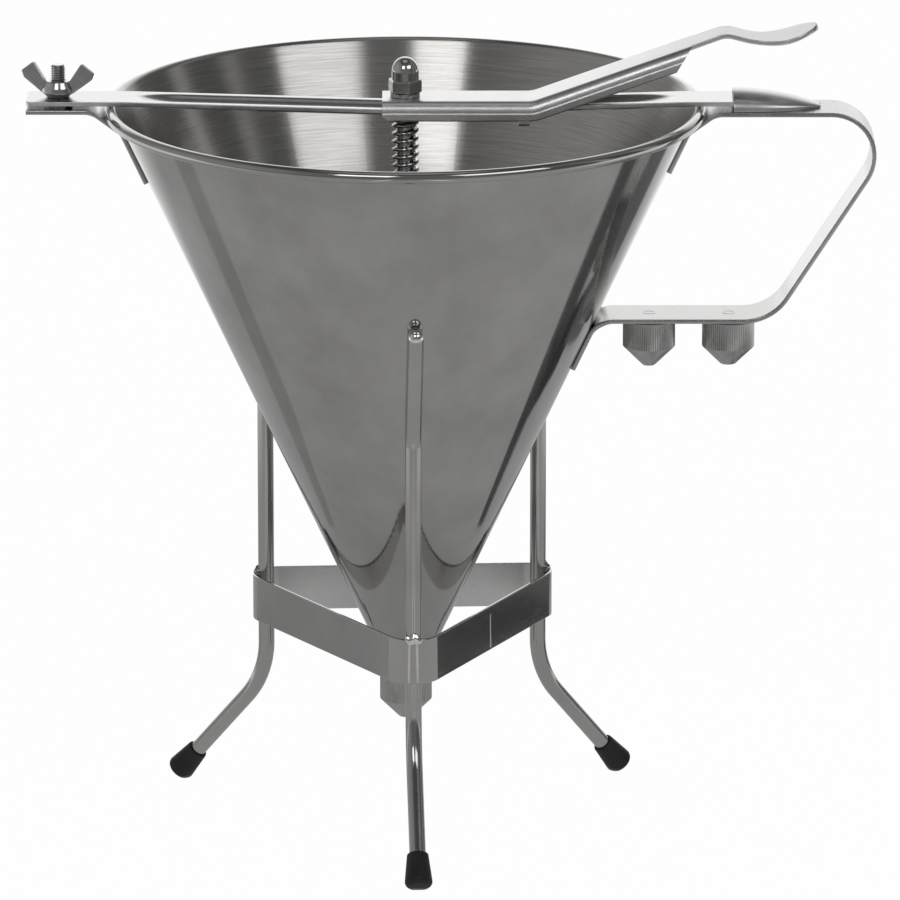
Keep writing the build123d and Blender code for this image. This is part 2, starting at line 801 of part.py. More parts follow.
pieces = {
    "hopper_cone": hopper_cone(),
    "outlet_spout": outlet_spout(),
    "outlet_nozzle": nozzle(0, collar_bottom_z - nozzle_gap, outlet_bore_radius),
    "handle_strip": handle_strip(),
    "bar_socket": bar_socket(),
    "nozzle_stud_inner": nozzle_stud(spare_spots[0]),
    "nozzle_stud_outer": nozzle_stud(spare_spots[1]),
    "spare_nozzle_inner": nozzle(spare_spots[0], spare_top_z, spare_bore_radii[0]),
    "spare_nozzle_outer": nozzle(spare_spots[1], spare_top_z, spare_bore_radii[1]),
    "clamp_bracket": clamp_bracket(),
    "clamp_stud": clamp_stud(),
    "spacer_washer": spacer_washer(),
    "wing_nut": wing_nut(),
    "crossbar": crossbar(),
    "thumb_lever": thumb_lever(),
    "valve_rod": valve_rod(),
    "acorn_nut": acorn_nut(),
    "lift_washer": lift_washer(),
    "spring_washer": spring_washer(),
    "stop_pin": stop_pin(),
    "valve_plug": valve_plug(),
    "closing_spring": closing_spring(),
    "stand_band": stand_band(),
}
for side, angle in leg_angles.items():
    pieces["leg_" + side] = wire_leg(angle)
    pieces["foot_" + side] = rubber_foot(angle)

os.makedirs("parts", exist_ok=True)
for name, piece in pieces.items():
    export_step(piece, "parts/" + name + ".step")
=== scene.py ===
from math import atan2, copysign, cos, degrees, hypot, pi, radians, sin, sqrt, tan

import bmesh
import bpy
from bmesh.types import BMEdge, BMVert
from mathutils import Matrix, Vector


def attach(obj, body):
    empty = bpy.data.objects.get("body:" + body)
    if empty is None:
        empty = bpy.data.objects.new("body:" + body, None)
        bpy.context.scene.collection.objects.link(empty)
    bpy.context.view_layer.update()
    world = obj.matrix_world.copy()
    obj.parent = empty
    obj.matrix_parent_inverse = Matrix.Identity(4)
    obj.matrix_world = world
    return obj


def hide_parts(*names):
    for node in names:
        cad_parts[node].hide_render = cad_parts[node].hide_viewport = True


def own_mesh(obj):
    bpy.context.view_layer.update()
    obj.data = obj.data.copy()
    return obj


# Looks of the funnel dispenser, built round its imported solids.
# Shapes are drawn in millimetres and made metres when a piece is finished.

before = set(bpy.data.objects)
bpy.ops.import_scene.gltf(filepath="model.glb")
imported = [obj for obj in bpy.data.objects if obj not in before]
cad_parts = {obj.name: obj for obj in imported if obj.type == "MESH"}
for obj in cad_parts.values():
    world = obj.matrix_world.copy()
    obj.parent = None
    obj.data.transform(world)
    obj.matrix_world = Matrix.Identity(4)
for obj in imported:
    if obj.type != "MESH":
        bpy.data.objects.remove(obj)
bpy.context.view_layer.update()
scene = bpy.context.scene

UP = Vector((0, 0, 1))
ACROSS = Vector((0, 1, 0))
ALONG = Vector((1, 0, 0))
METRES = 0.001
CREASE = radians(32)  # sharper edges stay sharp in the shading

# Hopper
rim_top = 247.0
rim_radius = 100.0
bead_radius = 2.0
bead_x = rim_radius - bead_radius
bead_z = rim_top - bead_radius
cone_lean = 25  # degrees from the upright
cone_angle = radians(cone_lean)
wall = 0.8
cone_end_z = 52.6893
cone_facets = 180
bead_facets = 30

# Nozzles
nozzle_radius = 8.75
nozzle_tip_wall = 0.7
nozzle_thread_radius = 5.1
nozzle_thread_depth = 6.6
nozzle_chamfer = 0.5
nozzle_ridges = 72
ridge_depth = 0.22
ridge_low_margin = 0.3  # to each side of the shoulder
ridge_top_margin = 0.9  # under the top face
outlet_top_z = 50.5893
outlet_bore = 1.5
outlet_knurl = 10.3
spare_top_z = 173.0
spare_knurl = 9.5
spare_places = {"inner": 81.4741, "outer": 107.9741}
spare_bores = {"inner": 1.3, "outer": 1.8}

# Strip steel of handle and bracket
strip_width = 20.0
strip_thickness = 1.5
strip_half = strip_thickness / 2
strip_edge = 0.45
tab_gap = 0.05  # between a welded tab and the cone
tab_rise = 90 - cone_lean
tab_bend = 4
bead_gap = 0.3  # between the strip and the rolled rim
flare_rise = 38  # degrees, under the rim
flare_bend = 8

# Handle
handle_top_z = 245.55
handle_low_z = 173.3
handle_tab_drop = 22
handle_low_tab_drop = 89.5
handle_low_bend = 8
grip_lean = 32.8  # degrees from the upright
grip_x = 156.5
grip_top_radius = 15.0
grip_low_radius = 18.0
mark_inner = 1.7  # ring that a stud's weld leaves
mark_outer = 2.2
mark_sink = 0.1
mark_height = 0.06

# Hood on the handle
hood_mouth_x = 108.9
hood_length = 29.0
hood_sheet = 0.8
hood_side = 0.8  # height of its upright sides
hood_half = 9.35
hood_tip_half = 2.2
hood_height = 6.1
hood_tip_height = 0.9
hood_arch = 0.95  # share of the sheet that is arched

# Clamp
bracket_top_z = 246.35
bracket_tab_drop = 25.6
clamp_end_x = -125.65
stud_x = -115.25
stud_radius = 2.5
stud_low_z = bracket_top_z - 1.2
stud_top_z = 259.85
stud_point = 0.6
thread_pitch = 0.8
thread_depth = 0.49
thread_flanks = ((0, 0.18), (-thread_depth, 0.32), (0, 0.1), (thread_depth, 0.2))  # steps outward and up
peen_radius = 2.2
peen_neck = 2.46
peen_bend = 0.4
peen_drop = 0.35  # below the bracket
peen_sink = 0.5  # into the bracket
wing_turn = radians(-12.5)
wing_gap = 0.05  # between nut and bar
wing_thickness = 2.0
wing_root_share = 1.35  # of that thickness
wing_tip_share = 0.9
wing_root_x = 4
wing_taper = 8

# Crossbar
bar_top_z = 248.85
bar_end_x = 117.9
bar_width = 16.6
bar_corner = 1.5
bar_edge = 0.28
bar_dip = 2.7
bar_dip_x = 93.0
stud_hole = 2.7
rod_hole = 3.2
groove_half = 5.15
groove_depth = 2.0
groove_end_x = 89.0
groove_runout = 15.0
groove_softness = 0.06

# Thumb lever
lever_top_z = 249.1035
lever_left_x = -7.6
lever_width = 21.3
lever_depth = 6.4
lever_thickness = 1.5
lever_shoulder = 3.3
lever_edge = 0.6
joggle_depth = 0.2  # step on the flange's outer face
joggle_top = 3.5
joggle_low = 4.05
lever_slot = (7.4, 6.6)
lever_slot_flat = 0.2
lever_end_cut = (2.5, 1.8)
lever_rise = radians(19.6)
lever_corner_x = 42.2
lever_bend = 10.0
slope_end_x = 100
flange_end_x = 95.0
flange_cut = radians(59)
rest_start_x = 93.5
rest_sink = 0.03  # below the channel's top
peak_x = 106.3
peak_bend = 9
dip_x = 121.0
dip_drop = 3.9  # below the peak
dip_bend = 28
tip_x = 136.5
tip_lift = 5.6  # above the dip
tip_half = 1.2
neck_end_x = dip_x - 5
neck_half = 6.95
thumb_half = 9.4
lug_x = 39.4
lug_drop = 8  # below the lever's top
lug_height = 3.5
lug_width = 3.8
lug_reach = 3.3
lug_inset = 0.08

# Nut on the rod
nut_base_z = 250.5535
nut_half = 5.0  # half across its flats
nut_hexagon = 4.4
nut_turn = -75.5
nut_corner = 0.3
nut_chamfer = 0.7
cap_radius = 4.65
cap_half = 4.5
cap_dome = 4.3
cap_stretch = 1.2
cap_middle = 6.4  # above the nut's base

# Spring
spring_low_z = 181.95
spring_high_z = 242.35
coil_radius = 3.95
coil_wire = 0.65
coil_turns = 21
coil_steps = 30  # in each turn

# Stand
leg_angles = {"front": -87.0, "right": 33.0, "left": 153.0}
leg_radius = 2.7
leg_circle = 53.4
leg_top_x = 71.83
leg_top_z = 184.85
leg_knee_z = 145.33
leg_ankle_z = 41.24
leg_knee_bend = 12
leg_ankle_bend = 31
leg_splay = radians(41.2)
foot_x = 86.0
foot_z = 4.0
foot_height = 8.6
foot_top_radius = 3.55
sole_radius = 4.8
sole_z = -2.95
sole_middle_z = -3.25
band_top_z = 77.5
band_height = 15.3
band_thickness = 1.0
band_edge = 0.3
band_corner = 9.5
band_apex = 57.2
weld_x = 56.4
weld_z = band_top_z - 0.2
weld_size = (1.2, 3.0, 1.8)
seam_low_z = band_top_z - 14.5
seam_high_z = band_top_z - 2.8
seam_half = 0.35
seam_thickness = 0.3
seam_corner = 0.2
seam_edge = 0.12
seam_aside = -2.6  # from the middle of the band's side


def cone_inner(z):
    """Radius of the hopper's inner face at a height."""
    return bead_x - bead_radius / cos(cone_angle) + (z - bead_z) * tan(cone_angle)


def cone_outer(z):
    """Radius of the hopper's outer face at a height."""
    return cone_inner(z) + wall / cos(cone_angle)


# Shaping


def upright(x, z):
    return Vector((x, 0, z))


def around(radius, angle):
    """Point on a circle about the upright axis, at an angle in degrees."""
    return Vector((radius * cos(radians(angle)), radius * sin(radians(angle)), 0))


def vertices_of(edges):
    return list(dict.fromkeys(v for edge in edges for v in edge.verts))


def edges_of(geometry):
    return [g for g in geometry if isinstance(g, BMEdge)]


def whole_of(shape):
    return shape.verts[:] + shape.edges[:] + shape.faces[:]


def pull(shape, front, way):
    """Extrude the front, one vertex or a row of edges, and give the new front."""
    if way.length < 1e-6:
        return front
    if isinstance(front[0], BMVert):
        made = bmesh.ops.extrude_vert_indiv(shape, verts=front)["verts"]
        bmesh.ops.translate(shape, verts=made, vec=way)
        return made
    made = bmesh.ops.extrude_edge_only(shape, edges=front)["geom"]
    bmesh.ops.translate(shape, verts=[g for g in made if isinstance(g, BMVert)], vec=way)
    return edges_of(made)


def swing(shape, front, centre, axis, angle, steps):
    """Turn the front about an axis, and give the new front."""
    kind = BMVert if isinstance(front[0], BMVert) else BMEdge
    moved = front if kind is BMVert else front + vertices_of(front)
    made = bmesh.ops.spin(shape, geom=moved, cent=centre, axis=axis, angle=angle, steps=steps)
    return [g for g in made["geom_last"] if isinstance(g, kind)]


def follow(shape, front, corners, bends, axis, steps=10, pieces=1):
    """Draw the front along corners that lie square to the axis, with a bend radius at each."""
    ways = [(b - a).normalized() for a, b in zip(corners, corners[1:])]
    turns = [atan2(a.cross(b).dot(axis), a.dot(b)) for a, b in zip(ways, ways[1:])]
    cuts = [0] + [bend * tan(abs(turn) / 2) for bend, turn in zip(bends, turns)] + [0]
    for i, way in enumerate(ways):
        run = (corners[i + 1] - corners[i]).length - cuts[i] - cuts[i + 1]
        for _ in range(pieces):
            front = pull(shape, front, way * (run / pieces))
        if i < len(turns) and bends[i] > 0:
            place = corners[i + 1] - way * cuts[i + 1]
            centre = place + axis.cross(way) * copysign(bends[i], turns[i])
            front = swing(shape, front, centre, axis, turns[i], steps)
    return front


def outline(points, bends, axis, steps=4):
    """Closed outline with rounded corners as a ring of edges in a new shape."""
    shape = bmesh.new()
    start = (points[0] + points[-1]) / 2
    follow(shape, [shape.verts.new(start)], [start, *points, start], bends, axis, steps)
    bmesh.ops.remove_doubles(shape, verts=shape.verts, dist=1e-4)
    return shape


def section(points, bends, steps=4):
    """Outline of a bar's cross-section, drawn as depth and width."""
    return outline([Vector((d, w, 0)) for d, w in points], bends, UP, steps)


def strip_section(width, thickness, edge):
    half, deep = width / 2, thickness / 2
    return section([(-deep, -half), (deep, -half), (deep, half), (-deep, half)], [edge] * 4)


def close_ends(shape, *ends):
    for end in ends:
        bmesh.ops.contextual_create(shape, geom=end)


def aim(shape, place, way):
    """Stand a section square to the way it will be drawn along."""
    turn(shape, atan2(way.x, way.z), "Y")
    shift(shape, place)


def drawn_bar(shape, corners, bends, steps=10):
    """Draw a section along a line of the upright plane and close both ends."""
    aim(shape, corners[0], (corners[1] - corners[0]).normalized())
    first = shape.edges[:]
    close_ends(shape, first, follow(shape, first, corners, bends, ACROSS, steps))
    return shape


def spin_round(shape, steps):
    """Turn a profile once round the upright axis."""
    profile = shape.verts[:] + shape.edges[:]
    bmesh.ops.spin(shape, geom=profile, cent=(0, 0, 0), axis=UP, angle=2 * pi, steps=steps, use_merge=True)


def wind(shape, geometry, climb, steps, turns=1):
    """Wind geometry up round the upright axis, with the climb and steps of one turn, and give its end."""
    made = bmesh.ops.spin(
        shape,
        geom=geometry,
        cent=(0, 0, 0),
        axis=UP,
        dvec=(0, 0, climb / steps),
        angle=2 * pi * turns,
        steps=steps * turns,
    )
    return edges_of(made["geom_last"])


def turned(points, bends, steps=64, bend_steps=5):
    """Closed profile of radius and height, turned about the upright axis."""
    shape = outline([upright(r, z) for r, z in points], bends, ACROSS, bend_steps)
    spin_round(shape, steps)
    bmesh.ops.remove_doubles(shape, verts=shape.verts, dist=1e-4)
    on_axis = [edge for edge in shape.edges if not edge.link_faces]
    bmesh.ops.delete(shape, geom=on_axis, context="EDGES")
    return shape


def plate(points, bends, axis, thickness, steps=4):
    """Flat plate of a rounded outline, half its thickness to each side."""
    shape = shift(outline(points, bends, axis, steps), axis * (-thickness / 2))
    first = shape.edges[:]
    close_ends(shape, first, pull(shape, first, axis * thickness))
    return shape


def round_edges(shape, edges, width, steps):
    bmesh.ops.bevel(
        shape,
        geom=edges,
        offset=width,
        offset_type="OFFSET",
        affect="EDGES",
        segments=steps,
        profile=0.5,
        material=-1,
    )
    return shape


def soften(shape, width, least_angle=40, steps=2):
    """Round the sharp edges of a closed shape."""
    bmesh.ops.recalc_face_normals(shape, faces=shape.faces)
    between_two = [edge for edge in shape.edges if len(edge.link_faces) == 2]
    sharp = [edge for edge in between_two if degrees(edge.calc_face_angle()) > least_angle]
    return round_edges(shape, sharp, width, steps)


def cut_off(shape, point, outward):
    """Cut a closed shape by a plane, drop the outward side and close the cut."""
    whole = whole_of(shape)
    cut = bmesh.ops.bisect_plane(shape, geom=whole, plane_co=point, plane_no=outward, clear_outer=True)
    bmesh.ops.edgeloop_fill(shape, edges=edges_of(cut["geom_cut"]))


def thicken(sheet, thickness):
    """Make a sheet face up and give it its thickness below."""
    bmesh.ops.recalc_face_normals(sheet, faces=sheet.faces)
    if sum(face.normal.z for face in sheet.faces) < 0:
        bmesh.ops.reverse_faces(sheet, faces=sheet.faces)
    bmesh.ops.solidify(sheet, geom=sheet.faces[:], thickness=thickness)


def rough_sides_painted_light(shape, least):
    """Give the faces that look sideways the second material, which is rougher and painted lighter."""
    for face in shape.faces:
        face.normal_update()
        face.material_index = 1 if abs(face.normal.y) > least else 0


def join(shape, other):
    """Add another shape to a shape."""
    carrier = bpy.data.meshes.new("carrier")
    other.to_mesh(carrier)
    other.free()
    shape.from_mesh(carrier)
    bpy.data.meshes.remove(carrier)


def shift(shape, way):
    bmesh.ops.translate(shape, verts=shape.verts, vec=way)
    return shape


def turn(shape, angle, axis="Z"):
    bmesh.ops.rotate(shape, verts=shape.verts, cent=(0, 0, 0), matrix=Matrix.Rotation(angle, 3, axis))
    return shape


def stretch(shape, *sizes):
    bmesh.ops.scale(shape, verts=shape.verts, vec=sizes)
    return shape


def mesh_object(name, shape, materials):
    mesh = bpy.data.meshes.new(name)
    shape.to_mesh(mesh)
    shape.free()
    for material in materials:
        mesh.materials.append(material)
    thing = bpy.data.objects.new(name, mesh)
    scene.collection.objects.link(thing)
    return thing


def finish_piece(name, shape, materials, body, stands_for=(), even=True):
    """Make a shape in millimetres a piece on a body; even keeps its flat faces flat in the shading."""
    bmesh.ops.remove_doubles(shape, verts=shape.verts, dist=2e-4)
    bmesh.ops.recalc_face_normals(shape, faces=shape.faces)
    piece = mesh_object(name, stretch(shape, METRES, METRES, METRES), materials)
    piece.data.shade_smooth()
    piece.data.set_sharp_from_angle(angle=CREASE)
    if even:
        shading = piece.modifiers.new("even_shading", "WEIGHTED_NORMAL")
        shading.weight = 50
        shading.keep_sharp = True
    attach(piece, body)
    if stands_for:
        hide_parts(*stands_for)
    return piece


# Shader nodes


def put(tree, kind, inputs=(), **settings):
    """Add a node; inputs are set by name or number, by a value or a link."""
    node = tree.nodes.new(kind)
    for key, value in settings.items():
        setattr(node, key, value)
    for key, value in dict(inputs).items():
        if isinstance(value, bpy.types.NodeSocket):
            tree.links.new(value, node.inputs[key])
        else:
            node.inputs[key].default_value = value
    return node


def calc(tree, operation, *values):
    return put(tree, "ShaderNodeMath", dict(enumerate(values)), operation=operation).outputs[0]


def weighted(tree, first, first_weight, second, second_weight):
    """Sum of two values, each times its weight."""
    return calc(
        tree,
        "ADD",
        calc(tree, "MULTIPLY", first, first_weight),
        calc(tree, "MULTIPLY", second, second_weight),
    )


def noise(tree, place, scale, detail, rough=0.5):
    inputs = {"Vector": place, "Scale": scale, "Detail": detail, "Roughness": rough}
    return put(tree, "ShaderNodeTexNoise", inputs).outputs["Fac"]


def spread(tree, value, low, high, to_low=0, to_high=1):
    """Map a value from one range to another, held at its ends."""
    inputs = {"Value": value, "From Min": low, "From Max": high, "To Min": to_low, "To Max": to_high}
    return put(tree, "ShaderNodeMapRange", inputs, clamp=True).outputs["Result"]


def between(tree, value, rise, fall):
    """One between two ramps of a value, and nought outside them."""
    return calc(tree, "MULTIPLY", spread(tree, value, *rise), spread(tree, value, *fall, 1, 0))


def stretched(tree, place, scale):
    return put(tree, "ShaderNodeMapping", {"Vector": place, "Scale": scale}).outputs["Vector"]


def blended(tree, share, first, second):
    return put(tree, "ShaderNodeMix", {0: share, 6: first, 7: second}, data_type="RGBA").outputs[2]


def split(tree, place):
    return put(tree, "ShaderNodeSeparateXYZ", {0: place}).outputs


def object_place(tree):
    return put(tree, "ShaderNodeTexCoord").outputs["Object"]


def new_material(name):
    """Give a new material, its node tree and its shader."""
    material = bpy.data.materials.new(name)
    material.use_nodes = True
    tree = material.node_tree
    return material, tree, tree.nodes["Principled BSDF"]


# Steel finishes


def start_finish(name):
    """Node group of a finish: a place, a dark and a light colour in; colour, roughness and height out."""
    group = bpy.data.node_groups.new(name, "ShaderNodeTree")
    for label, kind in (("Place", "Vector"), ("Dark", "Color"), ("Light", "Color")):
        group.interface.new_socket(name=label, in_out="INPUT", socket_type="NodeSocket" + kind)
    for label, kind in (("Colour", "Color"), ("Roughness", "Float"), ("Height", "Float")):
        group.interface.new_socket(name=label, in_out="OUTPUT", socket_type="NodeSocket" + kind)
    return group, group.nodes.new("NodeGroupInput").outputs


def end_finish(group, source, lightness, rough, height):
    """Hand out a finish whose colour runs from dark to light."""
    sink = group.nodes.new("NodeGroupOutput").inputs
    colour = blended(group, lightness, source["Dark"], source["Light"])
    for label, value in (("Colour", colour), ("Roughness", rough), ("Height", height)):
        group.links.new(value, sink[label])
    return group


def satin_grain():
    """Tumbled steel: fine pitting, soft clouds and a few bright nicks."""
    group, source = start_finish("satin_grain")
    place = source["Place"]
    pits = noise(group, place, scale=2600, detail=2.0, rough=0.6)
    clouds = noise(group, place, scale=190, detail=4.0, rough=0.6)
    nicks = spread(group, noise(group, place, scale=900, detail=1.0), 0.63, 0.72)
    lightness = spread(group, weighted(group, pits, 0.55, clouds, 0.45), 0.35, 0.65)
    rough = spread(group, clouds, 0.3, 0.7, 0.15, 0.22)
    waves = weighted(group, pits, 0.4, clouds, 1.2)
    height = calc(group, "ADD", waves, calc(group, "MULTIPLY", nicks, -0.06))
    return end_finish(group, source, lightness, rough, height)


def round_brush():
    """Brushing that runs round the upright axis, with longer streaks among the fine lines."""
    group, source = start_finish("round_brush")
    x, y, z = split(group, source["Place"])
    squares = calc(group, "ADD", calc(group, "MULTIPLY", x, x), calc(group, "MULTIPLY", y, y))
    reach = calc(group, "SQRT", squares)
    on_ring = {0: calc(group, "DIVIDE", x, reach), 1: calc(group, "DIVIDE", y, reach), 2: z}
    ringed = put(group, "ShaderNodeCombineXYZ", on_ring).outputs[0]
    fine = noise(group, stretched(group, ringed, (5, 5, 3000)), scale=1.0, detail=2.0, rough=0.6)
    broad = noise(group, stretched(group, ringed, (4, 4, 900)), scale=1.0, detail=3.0, rough=0.6)
    lightness = spread(group, weighted(group, fine, 0.82, broad, 0.18), 0.36, 0.64)
    rough = spread(group, broad, 0.3, 0.7, 0.2, 0.22)
    return end_finish(group, source, lightness, rough, fine)


def polish_marks():
    """Polished steel: broad soft clouds, a fine haze and thin wipe marks."""
    group, source = start_finish("polish_marks")
    place = source["Place"]
    clouds = noise(group, place, scale=26, detail=4.0, rough=0.62)
    haze = noise(group, place, scale=900, detail=2.0, rough=0.6)
    wipes = noise(group, stretched(group, place, (60, 60, 900)), scale=1.0, detail=2.0, rough=0.6)
    marks = calc(group, "MULTIPLY", spread(group, wipes, 0.6, 0.72), 0.03)
    rough = calc(group, "ADD", spread(group, haze, 0.3, 0.7, 0.07, 0.1), marks)
    return end_finish(group, source, spread(group, clouds, 0.34, 0.66), rough, clouds)


def grey(level, warmth=0.005):
    """Grey of steel, a little warm."""
    return (level, level - warmth, level - 2 * warmth)


def steel(name, finish, dark, light, relief, brushed=0.0, duller=0.0):
    """Bare steel with a finish; relief is its strength and its depth in metres, duller adds roughness."""
    material, tree, shader = new_material(name)
    shader.inputs["Metallic"].default_value = 1.0
    inputs = {"Place": object_place(tree), "Dark": (*dark, 1), "Light": (*light, 1)}
    marks = put(tree, "ShaderNodeGroup", inputs, node_tree=finish, name="finish")
    bump = {"Strength": relief[0], "Distance": relief[1], "Height": marks.outputs["Height"]}
    normal = put(tree, "ShaderNodeBump", bump).outputs["Normal"]
    rough = calc(tree, "ADD", marks.outputs["Roughness"], duller)
    tree.links.new(marks.outputs["Colour"], shader.inputs["Base Color"])
    tree.links.new(rough, shader.inputs["Roughness"])
    tree.links.new(normal, shader.inputs["Normal"])
    if brushed:
        shader.inputs["Anisotropic"].default_value = brushed
        shader.inputs["Anisotropic Rotation"].default_value = 0.25
        round_axis = put(tree, "ShaderNodeTangent", direction_type="RADIAL", axis="Z")
        tree.links.new(round_axis.outputs["Tangent"], shader.inputs["Tangent"])
    return material


def paint_light_and_shade_along(material, axis, rise, dark, light, fall=None):
    """Paint light and shade into a finish: its colours run over to other colours along an axis in metres,
    and back where fall is given.
    """
    tree = material.node_tree
    along = split(tree, object_place(tree))[axis]
    share = between(tree, along, rise, fall) if fall else spread(tree, along, *rise)
    marks = tree.nodes["finish"]
    for label, far in (("Dark", dark), ("Light", light)):
        near = tuple(marks.inputs[label].default_value)
        tree.links.new(blended(tree, share, near, (*far, 1)), marks.inputs[label])


satin = satin_grain()
brushing = round_brush()
polish = polish_marks()

cone_dark = grey(0.38, 0.006)
brushed_dark = (0.39, 0.382, 0.372)
brushed_light = (0.51, 0.5, 0.487)
strip_dark = grey(0.4, 0.004)
stand_dark = grey(0.42, 0.006)
warm_light = (0.48, 0.474, 0.467)
turned_relief = (0.02, 0.0001)
stand_relief = (0.03, 0.0002)

hopper_outside = steel("hopper_outside", polish, cone_dark, warm_light, relief=(0.02, 0.0004))
hopper_inside = steel(
    "hopper_inside", brushing, brushed_dark, brushed_light, relief=(0.02, 0.00004), brushed=0.85
)
strip_steel = steel("strip_satin", satin, grey(0.49), grey(0.59), relief=(0.04, 0.00005), duller=0.04)
lever_steel = steel("lever_satin", satin, grey(0.58), grey(0.7), relief=(0.15, 0.00008), duller=0.12)
# Sides of the lever and the crossbar, rougher than their tops and painted lighter: painted light.
side_steel_painted_light = steel("sides_painted_light", satin, grey(0.68), grey(0.9), relief=(0.5, 0.0001), duller=0.16)
handle_steel = steel("handle_satin", satin, strip_dark, grey(0.52), relief=(0.05, 0.00005), duller=0.08)
hood_steel = steel("hood_satin", satin, grey(0.6), grey(0.7), relief=(0.03, 0.00005), duller=0.14)
nozzle_steel = steel("nozzle_satin", satin, grey(0.38), grey(0.48), relief=(0.1, 0.00005), duller=0.06)
wire_steel = steel("stand_wire", polish, stand_dark, warm_light, relief=stand_relief, duller=0.05)
band_steel = steel("stand_strip", polish, stand_dark, warm_light, relief=stand_relief, duller=0.04)
# The band's inside is painted much lighter than its outside: painted light, on a duller finish.
band_inside_painted_light = steel(
    "stand_strip_inside_painted_light", satin, grey(0.64), grey(0.76), relief=(0.04, 0.00005), duller=0.16
)
# Bright steel of the welds and the legs' round ends; on the leg ends and the weld beads its brightness is a
# painted highlight.
weld_and_highlight_steel = steel("weld_and_painted_highlight", polish, grey(0.74), grey(0.84), relief=stand_relief)
turned_steel = steel("turned_bright", polish, grey(0.52), grey(0.6), relief=turned_relief, duller=-0.05)
nut_steel = steel("nut_polished", polish, grey(0.5), grey(0.58), relief=turned_relief, duller=-0.05)
cast_steel = steel("wing_nut_cast", satin, grey(0.5), grey(0.64), relief=(0.4, 0.0001), duller=-0.06)
spring_steel = steel("spring_wire", polish, grey(0.54), grey(0.62), relief=(0.03, 0.0001), duller=-0.05)

# Painted shade and light: the cone is painted darker towards its lower end and the lever towards its thumb
# rest, and the grip is painted lighter.
paint_light_and_shade_along(hopper_outside, "Z", rise=(0.17, 0.08), dark=grey(0.325), light=grey(0.41))
paint_light_and_shade_along(lever_steel, "X", rise=(0.06, 0.108), dark=strip_dark, light=grey(0.52))
paint_light_and_shade_along(handle_steel, "Z", (0.178, 0.187), dark=grey(0.66), light=grey(0.8), fall=(0.228, 0.242))


def rubber():
    """Matt black rubber with a fine moulded grain and a greyer bloom in places."""
    material, tree, shader = new_material("foot_rubber")
    place = object_place(tree)
    grain = noise(tree, place, scale=2200, detail=2.0, rough=0.6)
    bloom = spread(tree, noise(tree, place, scale=160, detail=3.0), 0.4, 0.7)
    colour = blended(tree, bloom, (0.008, 0.008, 0.008, 1), (0.02, 0.02, 0.02, 1))
    rough = spread(tree, grain, 0.3, 0.7, 0.5, 0.68)
    relief = put(tree, "ShaderNodeBump", {"Strength": 0.2, "Distance": 0.00008, "Height": grain})
    tree.links.new(colour, shader.inputs["Base Color"])
    tree.links.new(rough, shader.inputs["Roughness"])
    tree.links.new(relief.outputs["Normal"], shader.inputs["Normal"])
    return material


foot_rubber = rubber()


# Hopper


def hopper():
    """Cone wall and its rolled rim in one turned sheet; its inner face, up to the rim's top, is brushed."""
    shape = bmesh.new()
    inner_end = upright(cone_inner(cone_end_z), cone_end_z)
    outer_end = upright(cone_outer(cone_end_z), cone_end_z)
    centre = upright(bead_x, bead_z)
    inward = upright(-cos(cone_angle), sin(cone_angle))
    rise = upright(sin(cone_angle), cos(cone_angle))
    depth = bead_radius - wall
    half_chord = sqrt(bead_radius**2 - depth**2)
    inner_top = centre + inward * bead_radius
    outer_top = centre + inward * depth - rise * half_chord
    front = pull(shape, [shape.verts.new(inner_end)], inner_top - inner_end)
    front = swing(shape, front, centre, ACROSS, 2 * pi - atan2(half_chord, depth), bead_facets)
    front = pull(shape, front, outer_end - outer_top)
    pull(shape, front, inner_end - outer_end)
    bmesh.ops.remove_doubles(shape, verts=shape.verts, dist=1e-4)
    spin_round(shape, cone_facets)
    for face in shape.faces:
        middle = face.calc_center_median()
        reach = hypot(middle.x, middle.y)
        on_wall = middle.z < bead_z - bead_radius and reach < cone_inner(middle.z) + wall / 2
        on_bead = middle.z > inner_top.z and reach < bead_x
        face.material_index = 1 if on_wall or on_bead else 0
    materials = [hopper_outside, hopper_inside]
    finish_piece("hopper_wall", shape, materials, "hopper", ["hopper_cone"])


def nozzle(name, x, top, bore, knurl):
    """Knurled nozzle: fine ridges round its upper part and a smooth cone below."""
    shoulder = top - knurl
    tip_radius = bore + nozzle_tip_wall
    tip = shoulder - (nozzle_radius - tip_radius)
    thread_end = top - nozzle_thread_depth
    points = [
        (bore, tip),
        (tip_radius, tip),
        (nozzle_radius, shoulder),
        (nozzle_radius, shoulder + ridge_low_margin),
        (nozzle_radius, top - ridge_top_margin),
        (nozzle_radius, top - nozzle_chamfer),
        (nozzle_radius - nozzle_chamfer, top),
        (nozzle_thread_radius, top),
        (nozzle_thread_radius, thread_end),
        (bore, thread_end - (nozzle_thread_radius - bore)),
    ]
    shape = turned(points, [0.15, 0.9, 0.3, 0, 0, 0, 0, 0.2, 0, 0], 2 * nozzle_ridges)
    low = shoulder - ridge_low_margin
    high = top - (ridge_top_margin + nozzle_chamfer) / 2
    for v in shape.verts:
        step = round(atan2(v.co.y, v.co.x) / (pi / nozzle_ridges))
        outside = hypot(v.co.x, v.co.y) > nozzle_radius - nozzle_chamfer / 2
        if step % 2 and low < v.co.z < high and outside:
            v.co.x *= 1 - ridge_depth / nozzle_radius
            v.co.y *= 1 - ridge_depth / nozzle_radius
    shift(shape, upright(x, 0))
    finish_piece(name + "_knurled", shape, [nozzle_steel], name, [name])


# Strips welded to the cone


def meet(point_a, angle_a, point_b, angle_b):
    """Where two lines of the upright plane cross, each given by a point and its angle in degrees."""
    ax, az = cos(radians(angle_a)), sin(radians(angle_a))
    bx, bz = cos(radians(angle_b)), sin(radians(angle_b))
    along = ((point_b.x - point_a.x) * bz - (point_b.z - point_a.z) * bx) / (ax * bz - az * bx)
    return upright(point_a.x + along * ax, point_a.z + along * az)


def tab_point(drop):
    """Middle of a welded tab at a drop below the rim's top."""
    z = rim_top - drop
    return upright(cone_outer(z) + (tab_gap + strip_half) / cos(cone_angle), z)


